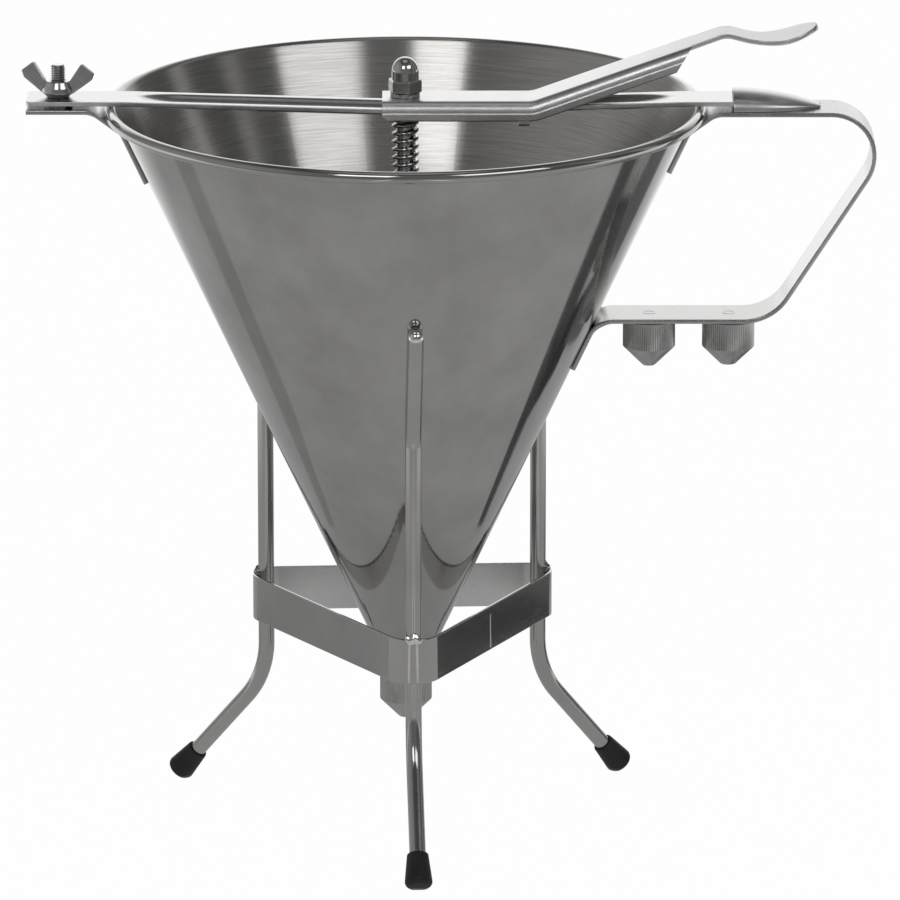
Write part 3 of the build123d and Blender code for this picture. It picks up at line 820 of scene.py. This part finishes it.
def flare_points(level):
    """Kink under the rim and corner to a level run."""
    reach = bead_radius + bead_gap + strip_half
    rise = radians(flare_rise)
    below = upright(bead_x + reach * sin(rise), bead_z - reach * cos(rise))
    kink = meet(tab_point(0), tab_rise, below, flare_rise)
    return [kink, meet(below, flare_rise, upright(0, level), 0)]


def hug_cone(shape):
    """Curve the welded tabs of a strip to the round of the cone; what stands further off stays flat."""
    cuts, flat_from, fade = 8, 2 * strip_thickness, 1.4
    for i in range(1 - cuts // 2, cuts // 2):
        place = ACROSS * (i * strip_width / cuts)
        bmesh.ops.bisect_plane(shape, geom=whole_of(shape), plane_co=place, plane_no=ACROSS)
    for v in shape.verts:
        reach = cone_outer(v.co.z)
        gap = (v.co.x - reach) * cos(cone_angle)
        share = min(1.0, max(0.0, (flat_from - gap) / fade))
        v.co.x -= share * (reach - sqrt(max(0.0, reach**2 - v.co.y**2)))


def welded_strip(corners, bends, steps):
    shape = strip_section(strip_width, strip_thickness, strip_edge)
    drawn_bar(shape, corners, bends, steps)
    hug_cone(shape)
    return shape


def handle():
    """Strip from its upper tab round the grip to its lower tab."""
    top_level = handle_top_z - strip_half
    low_level = handle_low_z + strip_half
    top_bend = grip_top_radius - strip_half
    low_bend = grip_low_radius - strip_half
    lean = radians(grip_lean)
    centre = upright(grip_x - grip_top_radius, handle_top_z - grip_top_radius)
    on_grip = centre + upright(top_bend * cos(lean), -top_bend * sin(lean))
    corners = [
        tab_point(handle_tab_drop),
        *flare_points(top_level),
        meet(on_grip, 90 - grip_lean, upright(0, top_level), 0),
        meet(on_grip, 90 - grip_lean, upright(0, low_level), 0),
        meet(tab_point(0), tab_rise, upright(0, low_level), 0),
        tab_point(handle_low_tab_drop),
    ]
    shape = welded_strip(corners, [tab_bend, flare_bend, top_bend, low_bend, handle_low_bend], 16)
    finish_piece("handle_bent_strip", shape, [handle_steel], "hopper", ["handle_strip"])


def bracket():
    """Strip from its tab to the clamp, drawn on the handle's side and turned over."""
    level = bracket_top_z - strip_half
    corners = [tab_point(bracket_tab_drop), *flare_points(level), upright(-clamp_end_x, level)]
    shape = stretch(welded_strip(corners, [tab_bend, flare_bend], 12), -1, 1, 1)
    finish_piece("clamp_bent_strip", shape, [strip_steel], "hopper", ["clamp_bracket"])


def hood():
    """Pressed hood on the handle that holds the bar's end; highest at its mouth, pointed at its tip."""
    shape = bmesh.new()
    bmesh.ops.create_grid(shape, x_segments=30, y_segments=40, size=0.5)
    for v in shape.verts:
        share = v.co.x + 0.5
        across = 2 * v.co.y
        half = hood_tip_half + (hood_half - hood_tip_half) * (1 - share**3)
        height = hood_tip_height + (hood_height - hood_tip_height) * (1 - share**2)
        low = min(hood_side, height / 2)
        arch = min(1.0, abs(across) / hood_arch) * pi / 2
        drop = max(0.0, abs(across) - hood_arch) / (1 - hood_arch)
        x = hood_mouth_x + share * hood_length
        z = low + (height - low) * cos(arch) - low * drop
        v.co = (x, copysign(half * sin(arch), across), handle_top_z + z)
    thicken(shape, hood_sheet)
    soften(shape, 0.25, 60, 3)
    finish_piece("socket_hood", shape, [hood_steel], "hopper", ["bar_socket"])


def weld_mark(name, x):
    """Faint ring that a stud weld leaves on the upper face of the handle's lower run."""
    face = handle_low_z + strip_thickness
    low, high = face - mark_sink, face + mark_height
    ring = [(mark_inner, low), (mark_outer, low), (mark_outer, high), (mark_inner, high)]
    shape = shift(turned(ring, [0, 0, 0.05, 0.05], 40, 2), upright(x, 0))
    finish_piece(name, shape, [handle_steel], "hopper")


# Clamp


def thread():
    """Rolled thread of the stud, drawn as one row of flanks, wound upwards and cut to length."""
    shape = bmesh.new()
    front = [shape.verts.new((stud_radius, 0, stud_low_z - 2 * thread_pitch))]
    for _ in range(int((stud_top_z - stud_low_z) / thread_pitch) + 4):
        for out, climb in thread_flanks:
            front = pull(shape, front, upright(out, climb))
    wind(shape, shape.verts[:] + shape.edges[:], thread_pitch, 32)
    bmesh.ops.remove_doubles(shape, verts=shape.verts, dist=0.01)
    cut_off(shape, UP * stud_top_z, UP)
    cut_off(shape, UP * stud_low_z, -UP)
    return shape


def threaded_stud():
    """Stud with a rolled thread, a pointed end above and a peened end below the bracket."""
    shape = thread()
    for v in shape.verts:
        over = v.co.z - (stud_top_z - stud_point)
        reach = hypot(v.co.x, v.co.y)
        if over > 0 and reach > stud_radius - over:
            v.co.x *= (stud_radius - over) / reach
            v.co.y *= (stud_radius - over) / reach
    under = bracket_top_z - strip_thickness
    low, high = under - peen_drop, under + peen_sink
    peen = [(0, low), (peen_radius, low), (peen_neck, high), (0, high)]
    join(shape, turned(peen, [0, peen_bend, 0, 0], 32))
    shift(shape, upright(stud_x, 0))
    finish_piece("clamp_threaded_stud", shape, [nut_steel], "hopper", ["clamp_stud"])


def wing_nut():
    """Cast wing nut: a bowl-shaped hub with two flat wings, thicker at their roots."""
    base = bar_top_z + wing_gap
    hub = [(2.55, 0), (3.7, 0), (5.5, 1.8), (5.2, 3.4), (4.2, 5.6), (2.55, 5.6)]
    shape = turned([(r, base + z) for r, z in hub], [0.2, 0.5, 0.6, 1.6, 0.5, 0.2], 48)
    edge = [(2.7, 1.3), (5.2, 1.3), (11.7, 6.2), (12.5, 8.5), (8.2, 11.8), (4.2, 5.6), (2.7, 5.2)]
    bends = [0, 1.2, 1.2, 0.7, 0.8, 1.4, 0]
    for side in (1, -1):
        wing = plate([upright(x, base + z) for x, z in edge], bends, ACROSS, wing_thickness, 6)
        for v in wing.verts:
            along = min(1.0, max(0.0, (v.co.x - wing_root_x) / wing_taper))
            v.co.y *= wing_root_share + (wing_tip_share - wing_root_share) * along
        soften(wing, 0.45, 50, 3)
        join(shape, stretch(wing, side, 1, 1))
    shift(turn(shape, wing_turn), upright(stud_x, 0))
    finish_piece("clamp_wing_nut", shape, [cast_steel], "wing_nut", ["wing_nut"])


# Crossbar


def bar_height(x):
    """Upper face of the bar, which dips to its middle."""
    return bar_top_z - bar_dip * max(0.0, 1 - abs(x) / bar_dip_x)


def groove_at(x, y):
    """Depth of the pressed groove, with a soft edge where it meets the flat."""
    bow = (groove_half**2 + groove_depth**2) / (2 * groove_depth)
    if abs(y) >= bow:
        return 0.0
    runout = max(0.0, abs(x) - (groove_end_x - groove_runout))
    depth = sqrt(bow**2 - y**2) - (bow - groove_depth) - groove_depth * (runout / groove_runout) ** 2
    return (depth + sqrt(depth**2 + groove_softness)) / 2


def open_hole(sheet, x, radius):
    """Open a round hole in a level sheet and draw the edge of the hole to its circle."""
    middles = {face: face.calc_center_median() for face in sheet.faces}
    inside = [face for face, middle in middles.items() if hypot(middle.x - x, middle.y) < radius]
    bmesh.ops.delete(sheet, geom=inside, context="FACES")
    for v in sheet.verts:
        reach = hypot(v.co.x - x, v.co.y)
        if v.is_boundary and reach < 1.6 * radius:
            v.co.x = x + (v.co.x - x) * radius / reach
            v.co.y *= radius / reach


def crossbar():
    """Strip with round corners, two holes and a pressed groove; its cut edges are rougher and painted
    lighter.
    """
    shape = bmesh.new()
    bmesh.ops.create_grid(shape, x_segments=300, y_segments=22, size=0.5)
    length = bar_end_x - clamp_end_x
    for v in shape.verts:
        v.co.x = clamp_end_x + (v.co.x + 0.5) * length
        v.co.y *= bar_width
    open_hole(shape, stud_x, stud_hole)
    open_hole(shape, 0, rod_hole)
    half = bar_width / 2
    for v in shape.verts:
        into_corner = bar_corner - min(v.co.x - clamp_end_x, bar_end_x - v.co.x)
        if into_corner > 0:
            rounding = sqrt(max(0.0, bar_corner**2 - into_corner**2))
            v.co.y *= (half - bar_corner + rounding) / half
        v.co.z = bar_height(v.co.x) - groove_at(v.co.x, v.co.y)
    thicken(shape, strip_thickness)
    soften(shape, bar_edge, 60, 3)
    rough_sides_painted_light(shape, least=0.7)
    materials = [strip_steel, side_steel_painted_light]
    finish_piece("crossbar_pressed", shape, materials, "hopper", ["crossbar"])


# Thumb lever


def on_lever_slope(x):
    return upright(x, lever_top_z + (x - lever_corner_x) * tan(lever_rise))


def rod_slot(shape):
    """Open the slot for the rod through the channel's web."""
    half_long, half_wide = lever_slot[0] / 2, lever_slot[1] / 2
    for way, half in ((ALONG, half_long), (ACROSS, half_wide)):
        for side in (half, -half):
            bmesh.ops.bisect_plane(shape, geom=whole_of(shape), plane_co=way * side, plane_no=way)
    middles = {face: face.calc_center_median() for face in shape.faces}
    in_line = [face for face, middle in middles.items() if abs(middle.y) < half_wide]
    inside = [face for face in in_line if abs(middles[face].x) < half_long]
    bmesh.ops.delete(shape, geom=inside, context="FACES")
    rims = [edge for edge in shape.edges if edge.is_boundary]
    made = bmesh.ops.bridge_loops(shape, edges=rims)
    corners = [e for e in made["edges"] if abs(e.verts[0].co.z - e.verts[1].co.z) > lever_thickness / 2]
    return round_edges(shape, corners, half_wide - lever_slot_flat, 6)


def lever_channel():
    """Channel with rounded shoulders that straddles the bar, cut slanting where its flanges end."""
    half, inner = lever_width / 2, lever_width / 2 - lever_thickness
    drawn_in = half - joggle_depth
    inner_shoulder = lever_shoulder - lever_thickness
    half_section = [
        (0, drawn_in, lever_shoulder),
        (joggle_top, drawn_in, 0.4),
        (joggle_low, half, lever_edge),
        (lever_depth, half, lever_edge),
        (lever_depth, inner, 0.5),
        (lever_thickness, inner, inner_shoulder),
    ]
    right = [(depth, across) for depth, across, _ in half_section]
    left = [(depth, -across) for depth, across in reversed(right)]
    bends = [bend for _, _, bend in half_section]
    start = 2  # the outline starts at the left flange's foot
    points = left[start:] + right + left[:start]
    bends = bends[::-1][start:] + bends + bends[::-1][:start]
    shape = section(points, bends, 7)
    level = [upright(lever_left_x, lever_top_z), upright(lever_corner_x, lever_top_z)]
    drawn_bar(shape, [*level, on_lever_slope(slope_end_x)], [lever_bend], 14)
    cut_off(shape, on_lever_slope(flange_end_x), upright(sin(flange_cut), -cos(flange_cut)))
    long, high = lever_end_cut
    foot_point = upright(lever_left_x + long, lever_top_z - lever_depth)
    cut_off(shape, foot_point, upright(-high, -long).normalized())
    return rod_slot(shape)


def eased(start, end, share):
    return start + (end - start) * share * share * (3 - 2 * share)


def rest_half(x):
    """Half the width of neck and thumb rest in plan."""
    wide_x = tip_x - thumb_half
    if x > wide_x:
        return max(tip_half, sqrt(max(0.0, thumb_half**2 - (x - wide_x) ** 2)))
    if x > neck_end_x:
        return eased(neck_half, thumb_half, (x - neck_end_x) / (wide_x - neck_end_x))
    if x > peak_x:
        return neck_half
    foot_half = lever_width / 2 - lever_shoulder
    return eased(foot_half, neck_half, max(0.0, (x - flange_end_x) / (peak_x - flange_end_x)))


def thumb_rest():
    """Flat neck over a peak, then the curved rest with its round end."""
    shape = bmesh.new()
    start = on_lever_slope(rest_start_x) - UP * rest_sink
    peak = on_lever_slope(peak_x)
    dip = upright(dip_x, peak.z - dip_drop)
    tip = dip + upright(tip_x - dip_x, tip_lift)
    columns, rows = 16, 10
    front = [shape.verts.new(start - ACROSS)]
    for _ in range(columns):
        front = pull(shape, front, ACROSS * (2 / columns))
    way = (tip - dip).normalized()
    bend_cut = dip_bend * tan((dip - peak).angle(tip - dip) / 2)
    corners = [start, peak, dip, dip + way * bend_cut]
    edges = follow(shape, shape.edges[:], corners, [peak_bend, dip_bend], ACROSS, 14, 5)
    length = (tip - dip).length - bend_cut
    for i in range(rows):
        step = sin((i + 1) * pi / (2 * rows)) - sin(i * pi / (2 * rows))
        edges = pull(shape, edges, way * (length * step))
    for v in shape.verts:
        v.co.y *= rest_half(v.co.x)
    bmesh.ops.remove_doubles(shape, verts=shape.verts, dist=1e-3)
    thicken(shape, lever_thickness)
    return soften(shape, 0.4, 60)


def lug(side):
    """Lug at a flange's foot, bent in under the bar."""
    low = lever_top_z - lug_drop
    high = low + lever_thickness
    root = low + lug_height
    face = side * (lever_width / 2 - lug_inset)
    back = face - side * lever_thickness
    end = face - side * lug_reach
    points = [(face, root), (face, low), (end, low), (end, high), (back, high), (back, root)]
    bends = [0, 0.9, 0.3, 0.3, 0.3, 0]
    shape = plate([Vector((0, y, z)) for y, z in points], bends, ALONG, lug_width, 4)
    return soften(shift(shape, ALONG * lug_x), 0.25, 60)


def thumb_lever():
    """Channel, thumb rest and lugs in one piece; its flanges are rougher than its top and painted lighter.
    """
    shape = lever_channel()
    for other in (thumb_rest(), lug(1), lug(-1)):
        join(shape, other)
    rough_sides_painted_light(shape, least=0.6)
    materials = [lever_steel, side_steel_painted_light]
    finish_piece("thumb_lever_pressed", shape, materials, "lever", ["thumb_lever"])


# Valve rod


def acorn_nut():
    """Domed nut: a chamfered hexagon under a bullet-shaped cap."""
    corner = nut_half / cos(radians(30))
    points = [around(corner, nut_turn + 60 * i) for i in range(6)]
    shape = plate(points, [nut_corner] * 6, UP, nut_hexagon, 4)
    shift(shape, UP * (nut_base_z + nut_hexagon / 2))
    soften(shape, nut_chamfer, 60, 3)
    bullet = [(0, -cap_half), (cap_radius, -cap_half), (cap_half, cap_half), (0, cap_half)]
    cap = stretch(turned(bullet, [0, 0, cap_dome, 0], 64, 20), 1, 1, cap_stretch)
    join(shape, shift(cap, UP * (nut_base_z + cap_middle)))
    finish_piece("rod_acorn_nut", shape, [nut_steel], "rod", ["acorn_nut"])


def spring():
    """Wound closing spring: open coils between one closed coil at each end."""
    low, high = spring_low_z + coil_wire, spring_high_z - coil_wire
    closed = 2 * coil_wire
    pitch = (high - low - 2 * closed) / coil_turns
    shape = bmesh.new()
    bmesh.ops.create_circle(shape, segments=12, radius=coil_wire)
    shift(turn(shape, pi / 2, "X"), upright(coil_radius, low))
    first = shape.edges[:]
    front = first
    for turns, climb in ((1, closed), (coil_turns, pitch), (1, closed)):
        front = wind(shape, front + vertices_of(front), climb, coil_steps, turns)
    close_ends(shape, first, front)
    materials, stands_for = [spring_steel], ["closing_spring"]
    piece = finish_piece("closing_coil", shape, materials, "hopper", stands_for, even=False)
    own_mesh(piece)


# Stand


def wire_leg(side):
    """Bent wire leg whose round end above, which lies along the cone, is painted bright as a highlight."""
    shape = bmesh.new()
    bmesh.ops.create_circle(shape, segments=24, radius=leg_radius)
    corners = [
        upright(leg_top_x, leg_top_z),
        upright(leg_circle, leg_knee_z),
        upright(leg_circle, leg_ankle_z),
        upright(foot_x, foot_z),
    ]
    way = (corners[1] - corners[0]).normalized()
    aim(shape, corners[0], way)
    ring = shape.edges[:]
    close_ends(shape, follow(shape, ring, corners, [leg_knee_bend, leg_ankle_bend], ACROSS, 16))
    rows = 7
    for i in range(rows):
        before, angle = i * pi / 2 / rows, (i + 1) * pi / 2 / rows
        ring = pull(shape, ring, way * (leg_radius * (sin(before) - sin(angle))))
        centre = corners[0] - way * (leg_radius * sin(angle))
        size = cos(angle) / cos(before)
        place = Matrix.Translation(-centre)
        bmesh.ops.scale(shape, verts=vertices_of(ring), vec=(size,) * 3, space=place)
    # The round end gets the bright weld steel: a painted highlight.
    for face in shape.faces:
        on_end = (face.calc_center_median() - corners[0]).dot(way) < 0
        face.material_index = 1 if on_end else 0
    turn(shape, radians(leg_angles[side]))
    materials = [wire_steel, weld_and_highlight_steel]
    finish_piece("wire_leg_" + side, shape, materials, "stand", ["leg_" + side])


def foot(side):
    """Rubber cap on a leg's end: a tapered sleeve with a rolled lip and a shallow sole, worn flat below."""
    sleeve = [(0, sole_middle_z), (sole_radius, sole_z), (foot_top_radius, foot_height)]
    socket = [(leg_radius, foot_height), (leg_radius, 0), (0, 0)]
    shape = turned(sleeve + socket, [0, 1.8, 0.5, 0.2, 0, 0], 40, 8)
    shift(turn(shape, -leg_splay, "Y"), upright(foot_x, foot_z))
    cut_off(shape, (0, 0, 0), -UP)
    turn(shape, radians(leg_angles[side]))
    finish_piece("rubber_foot_" + side, shape, [foot_rubber], "stand", ["foot_" + side])


def band():
    """Triangular band bent round the three legs, duller on its inside and painted lighter there."""
    middle = band_thickness / 2
    sharp = band_apex - band_corner + (band_corner - middle) / sin(radians(30))
    places = [around(sharp, angle) for angle in leg_angles.values()]
    start = (places[0] + places[1]) / 2
    way = (places[1] - places[0]).normalized()
    level = UP * (band_top_z - band_height / 2)
    shape = strip_section(band_height, band_thickness, band_edge)
    tilt = Matrix((Vector((way.y, -way.x, 0)), UP, way)).transposed()
    bmesh.ops.rotate(shape, verts=shape.verts, cent=(0, 0, 0), matrix=tilt)
    shift(shape, start + level)
    corners = [place + level for place in (start, places[1], places[2], places[0], start)]
    follow(shape, shape.edges[:], corners, [band_corner - middle] * 3, UP, 12)
    bmesh.ops.remove_doubles(shape, verts=shape.verts, dist=1e-3)
    bmesh.ops.recalc_face_normals(shape, faces=shape.faces)
    for face in shape.faces:
        outward = face.calc_center_median()
        outward.z = 0
        face.material_index = 1 if face.normal.dot(outward.normalized()) < -0.3 else 0
    materials = [band_steel, band_inside_painted_light]
    finish_piece("band_bent_strip", shape, materials, "stand", ["stand_band"])


def butt_weld():
    """Thin upright weld line where the band's ends meet on its right front side."""
    low, high = UP * seam_low_z, UP * seam_high_z
    half = ACROSS * seam_half
    points = [low - half, low + half, high + half, high - half]
    shape = soften(plate(points, [seam_corner] * 4, ALONG, seam_thickness), seam_edge, 60)
    side_reach = (band_apex - band_corner) * sin(radians(30)) + band_corner
    shift(shape, Vector((side_reach, seam_aside, 0)))
    turn(shape, radians((leg_angles["front"] + leg_angles["right"]) / 2))
    finish_piece("band_butt_weld", shape, [weld_and_highlight_steel], "stand")


def weld_bead(side):
    """Small weld between a leg and the band's upper edge, a little uneven, painted bright as a highlight.
    """
    shape = bmesh.new()
    bmesh.ops.create_uvsphere(shape, u_segments=20, v_segments=12, radius=1)
    for v in shape.verts:
        v.co.z += 0.18 * sin(5 * v.co.y + 1) + 0.1 * sin(7 * v.co.x)
    shift(stretch(shape, *weld_size), upright(weld_x, weld_z))
    turn(shape, radians(leg_angles[side]))
    finish_piece("band_weld_" + side, shape, [weld_and_highlight_steel], "stand")


hopper()
nozzle("outlet_nozzle", 0, outlet_top_z, outlet_bore, outlet_knurl)
for spare, spare_x in spare_places.items():
    nozzle("spare_nozzle_" + spare, spare_x, spare_top_z, spare_bores[spare], spare_knurl)
handle()
for spare, spare_x in spare_places.items():
    weld_mark("stud_weld_" + spare, spare_x)
hood()
bracket()
threaded_stud()
wing_nut()
crossbar()
thumb_lever()
acorn_nut()
spring()
for leg_side in leg_angles:
    wire_leg(leg_side)
    foot(leg_side)
    weld_bead(leg_side)
band()
butt_weld()

# Solids that show as they are
small_parts = [
    "outlet_spout",
    "nozzle_stud_inner",
    "nozzle_stud_outer",
    "spacer_washer",
    "valve_rod",
    "lift_washer",
    "spring_washer",
    "stop_pin",
    "valve_plug",
]
for part_name in small_parts:
    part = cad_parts[part_name]
    part.data.materials.clear()
    part.data.materials.append(turned_steel)

# Studio, in metres: floor, papers, lamps, background and camera
floor_reach = 8
grey_back = 1
grey_height = 0.001
paper_height = 0.002


def stage_sheet(name, corners, material):
    """Flat sheet of the studio through its corners."""
    shape = bmesh.new()
    bmesh.ops.contextual_create(shape, geom=[shape.verts.new(corner) for corner in corners])
    sheet = mesh_object(name, shape, [material])
    return sheet


def level_sheet(back, height):
    """Corners of a sheet as wide as the floor."""
    near = [(-floor_reach, -floor_reach, height), (floor_reach, -floor_reach, height)]
    return [*near, (floor_reach, back, height), (-floor_reach, back, height)]


def glow(tree, colour):
    return put(tree, "ShaderNodeEmission", {"Color": colour, "Strength": 1.0}).outputs[0]


def mixed(tree, share, first, second):
    return put(tree, "ShaderNodeMixShader", {0: share, 1: first, 2: second}).outputs[0]


def show(tree, result):
    """Let a material's surface be the result of its nodes."""
    tree.links.new(result, tree.nodes["Material Output"].inputs["Surface"])


def pale_floor():
    """Matt white floor that shows white to camera and metal and keeps a trace of the shadow."""
    material, tree, shader = new_material("pale_floor")
    patches = noise(tree, object_place(tree), scale=3, detail=2.0)
    colour = blended(tree, patches, (0.86, 0.86, 0.86, 1), (0.88, 0.88, 0.88, 1))
    tree.links.new(colour, shader.inputs["Base Color"])
    shader.inputs["Roughness"].default_value = 0.9
    shader.inputs["Specular IOR Level"].default_value = 0.1
    rays = put(tree, "ShaderNodeLightPath").outputs
    seen = calc(tree, "MAXIMUM", rays["Is Camera Ray"], rays["Is Glossy Ray"])
    seen = calc(tree, "MAXIMUM", seen, rays["Is Transmission Ray"])
    share = calc(tree, "MULTIPLY", seen, 0.985)
    show(tree, mixed(tree, share, shader.outputs[0], glow(tree, (1, 1, 1, 1))))
    return material


def grey_floor():
    """Grey of the floor round the object; it fades out sideways and behind and darkens in front."""
    material, tree, shader = new_material("grey_floor")
    tree.nodes.remove(shader)
    place = object_place(tree)
    reach = put(tree, "ShaderNodeVectorMath", {0: place}, operation="LENGTH").outputs["Value"]
    depth = split(tree, place)["Y"]
    shade = glow(tree, spread(tree, depth, -0.4, -1.0, 0.46, 0.2))
    clear = put(tree, "ShaderNodeBsdfTransparent").outputs[0]
    near = spread(tree, reach, 0.43, 0.66, 1, 0)
    cover = calc(tree, "MAXIMUM", near, spread(tree, depth, -0.15, -0.35))
    show(tree, mixed(tree, cover, clear, shade))
    return material


def plain_paper(name, shade):
    material, tree, shader = new_material(name)
    tree.nodes.remove(shader)
    show(tree, glow(tree, (shade, shade, shade, 1)))
    return material


def only_in_metal(sheet):
    """Let a sheet be seen by polished metal alone."""
    sheet.visible_camera = False
    sheet.visible_diffuse = False
    sheet.visible_transmission = False
    sheet.visible_shadow = False


stage_sheet("floor", level_sheet(floor_reach, 0), pale_floor())
only_in_metal(stage_sheet("floor_grey", level_sheet(grey_back, grey_height), grey_floor()))

# Papers on the floor that the metal shows, each a shade and an outline in millimetres: two dark streaks
# on the cone's right, the band's right face, light on the front leg, and the band's left face
papers = {
    "paper_near_streak": (
        0.1,
        [(123, 44), (185, 59), (258, 77), (331, 94), (342, 168), (266, 135), (190, 101), (125, 72)],
    ),
    "paper_far_streak": (0.15, [(224, 148), (284, 183), (345, 218), (331, 401), (271, 332), (212, 266)]),
    "paper_right_face": (0.05, [(164, 52), (228, 86), (274, 194), (210, 164)]),
    "paper_front_left": (1.0, [(-64, -240), (-44, -240), (-44, -650), (-64, -650)]),
    "paper_front_right": (1.0, [(66, -240), (90, -240), (90, -650), (66, -650)]),
    "paper_left_face": (
        0.34,
        [(-126, 66), (-191, 91), (-267, 121), (-342, 150), (-327, 72), (-256, 52), (-183, 26), (-122, 36)],
    ),
}
for paper_name, (paper_shade, paper_outline) in papers.items():
    paper_corners = [(x / 1000, y / 1000, paper_height) for x, y in paper_outline]
    only_in_metal(stage_sheet(paper_name, paper_corners, plain_paper(paper_name, paper_shade)))


def soft_box(name, azimuth, elevation, distance, width, height, radiance):
    """Rectangular lamp that looks at the object; azimuth is counted from the camera's side towards +X."""
    data = bpy.data.lights.new(name, "AREA")
    data.shape = "RECTANGLE"
    data.size = width
    data.size_y = height
    data.energy = radiance * pi * width * height
    lamp = bpy.data.objects.new(name, data)
    scene.collection.objects.link(lamp)
    a, e = radians(azimuth), radians(elevation)
    aim_at = Vector((0, 0, 0.2))
    back = Vector((sin(a) * cos(e), -cos(a) * cos(e), sin(e)))
    lamp.location = aim_at + back * distance
    lamp.rotation_mode = "QUATERNION"
    lamp.rotation_quaternion = (-back).to_track_quat("-Z", "Y")


soft_box("soft_box_left", azimuth=-16, elevation=37, distance=1.8, width=0.6, height=0.63, radiance=2.5)
soft_box("soft_box_right", azimuth=41, elevation=37, distance=1.8, width=1.0, height=0.63, radiance=1.8)


def background():
    """Dim room, paler on the left and overhead, with two pale streaks on the right and a white backdrop."""
    world = bpy.data.worlds.new("studio")
    scene.world = world
    world.use_nodes = True
    tree = world.node_tree
    x, y, z = split(tree, put(tree, "ShaderNodeTexCoord").outputs["Generated"])
    left = spread(tree, x, -0.9, -0.45, 0.38, 0.2)
    far_streak = between(tree, y, (0.2, 0.27), (0.33, 0.4))
    near_streak = between(tree, y, (-0.22, -0.17), (-0.12, -0.07))
    streaks = calc(tree, "MULTIPLY", calc(tree, "MAXIMUM", far_streak, near_streak), 0.3)
    right = calc(tree, "MULTIPLY", spread(tree, x, 0.5, 0.85), calc(tree, "SUBTRACT", streaks, 0.08))
    sides = calc(tree, "ADD", left, right)
    sides = calc(tree, "MULTIPLY", sides, spread(tree, z, 0.78, 0.86, 1, 0.45))
    overhead = spread(tree, z, 0.94, 0.98)
    gain = calc(tree, "MULTIPLY", overhead, calc(tree, "SUBTRACT", 0.45, sides))
    room = calc(tree, "ADD", sides, gain)
    backdrop = spread(tree, z, 0.57, 0.66, 1.4, 0.2)
    behind = spread(tree, y, 0.7, 0.92)
    rise = calc(tree, "MULTIPLY", behind, calc(tree, "SUBTRACT", backdrop, room))
    level = calc(tree, "ADD", room, rise)
    rays = put(tree, "ShaderNodeLightPath").outputs
    level = calc(tree, "MAXIMUM", level, rays["Is Camera Ray"])
    tree.links.new(level, tree.nodes["Background"].inputs["Color"])


background()

camera_place = Vector((0.0149, -2.8909, 0.9287))
camera_target = Vector((0.0149, 0, 0.127))
lens = bpy.data.cameras.new("camera")
lens.lens = 357.3
lens.sensor_width = 36
lens.clip_end = 50
camera = bpy.data.objects.new("camera", lens)
scene.collection.objects.link(camera)
camera.location = camera_place
camera.rotation_mode = "QUATERNION"
camera.rotation_quaternion = (camera_target - camera_place).to_track_quat("-Z", "Y")
scene.camera = camera

scene.view_settings.view_transform = "Standard"
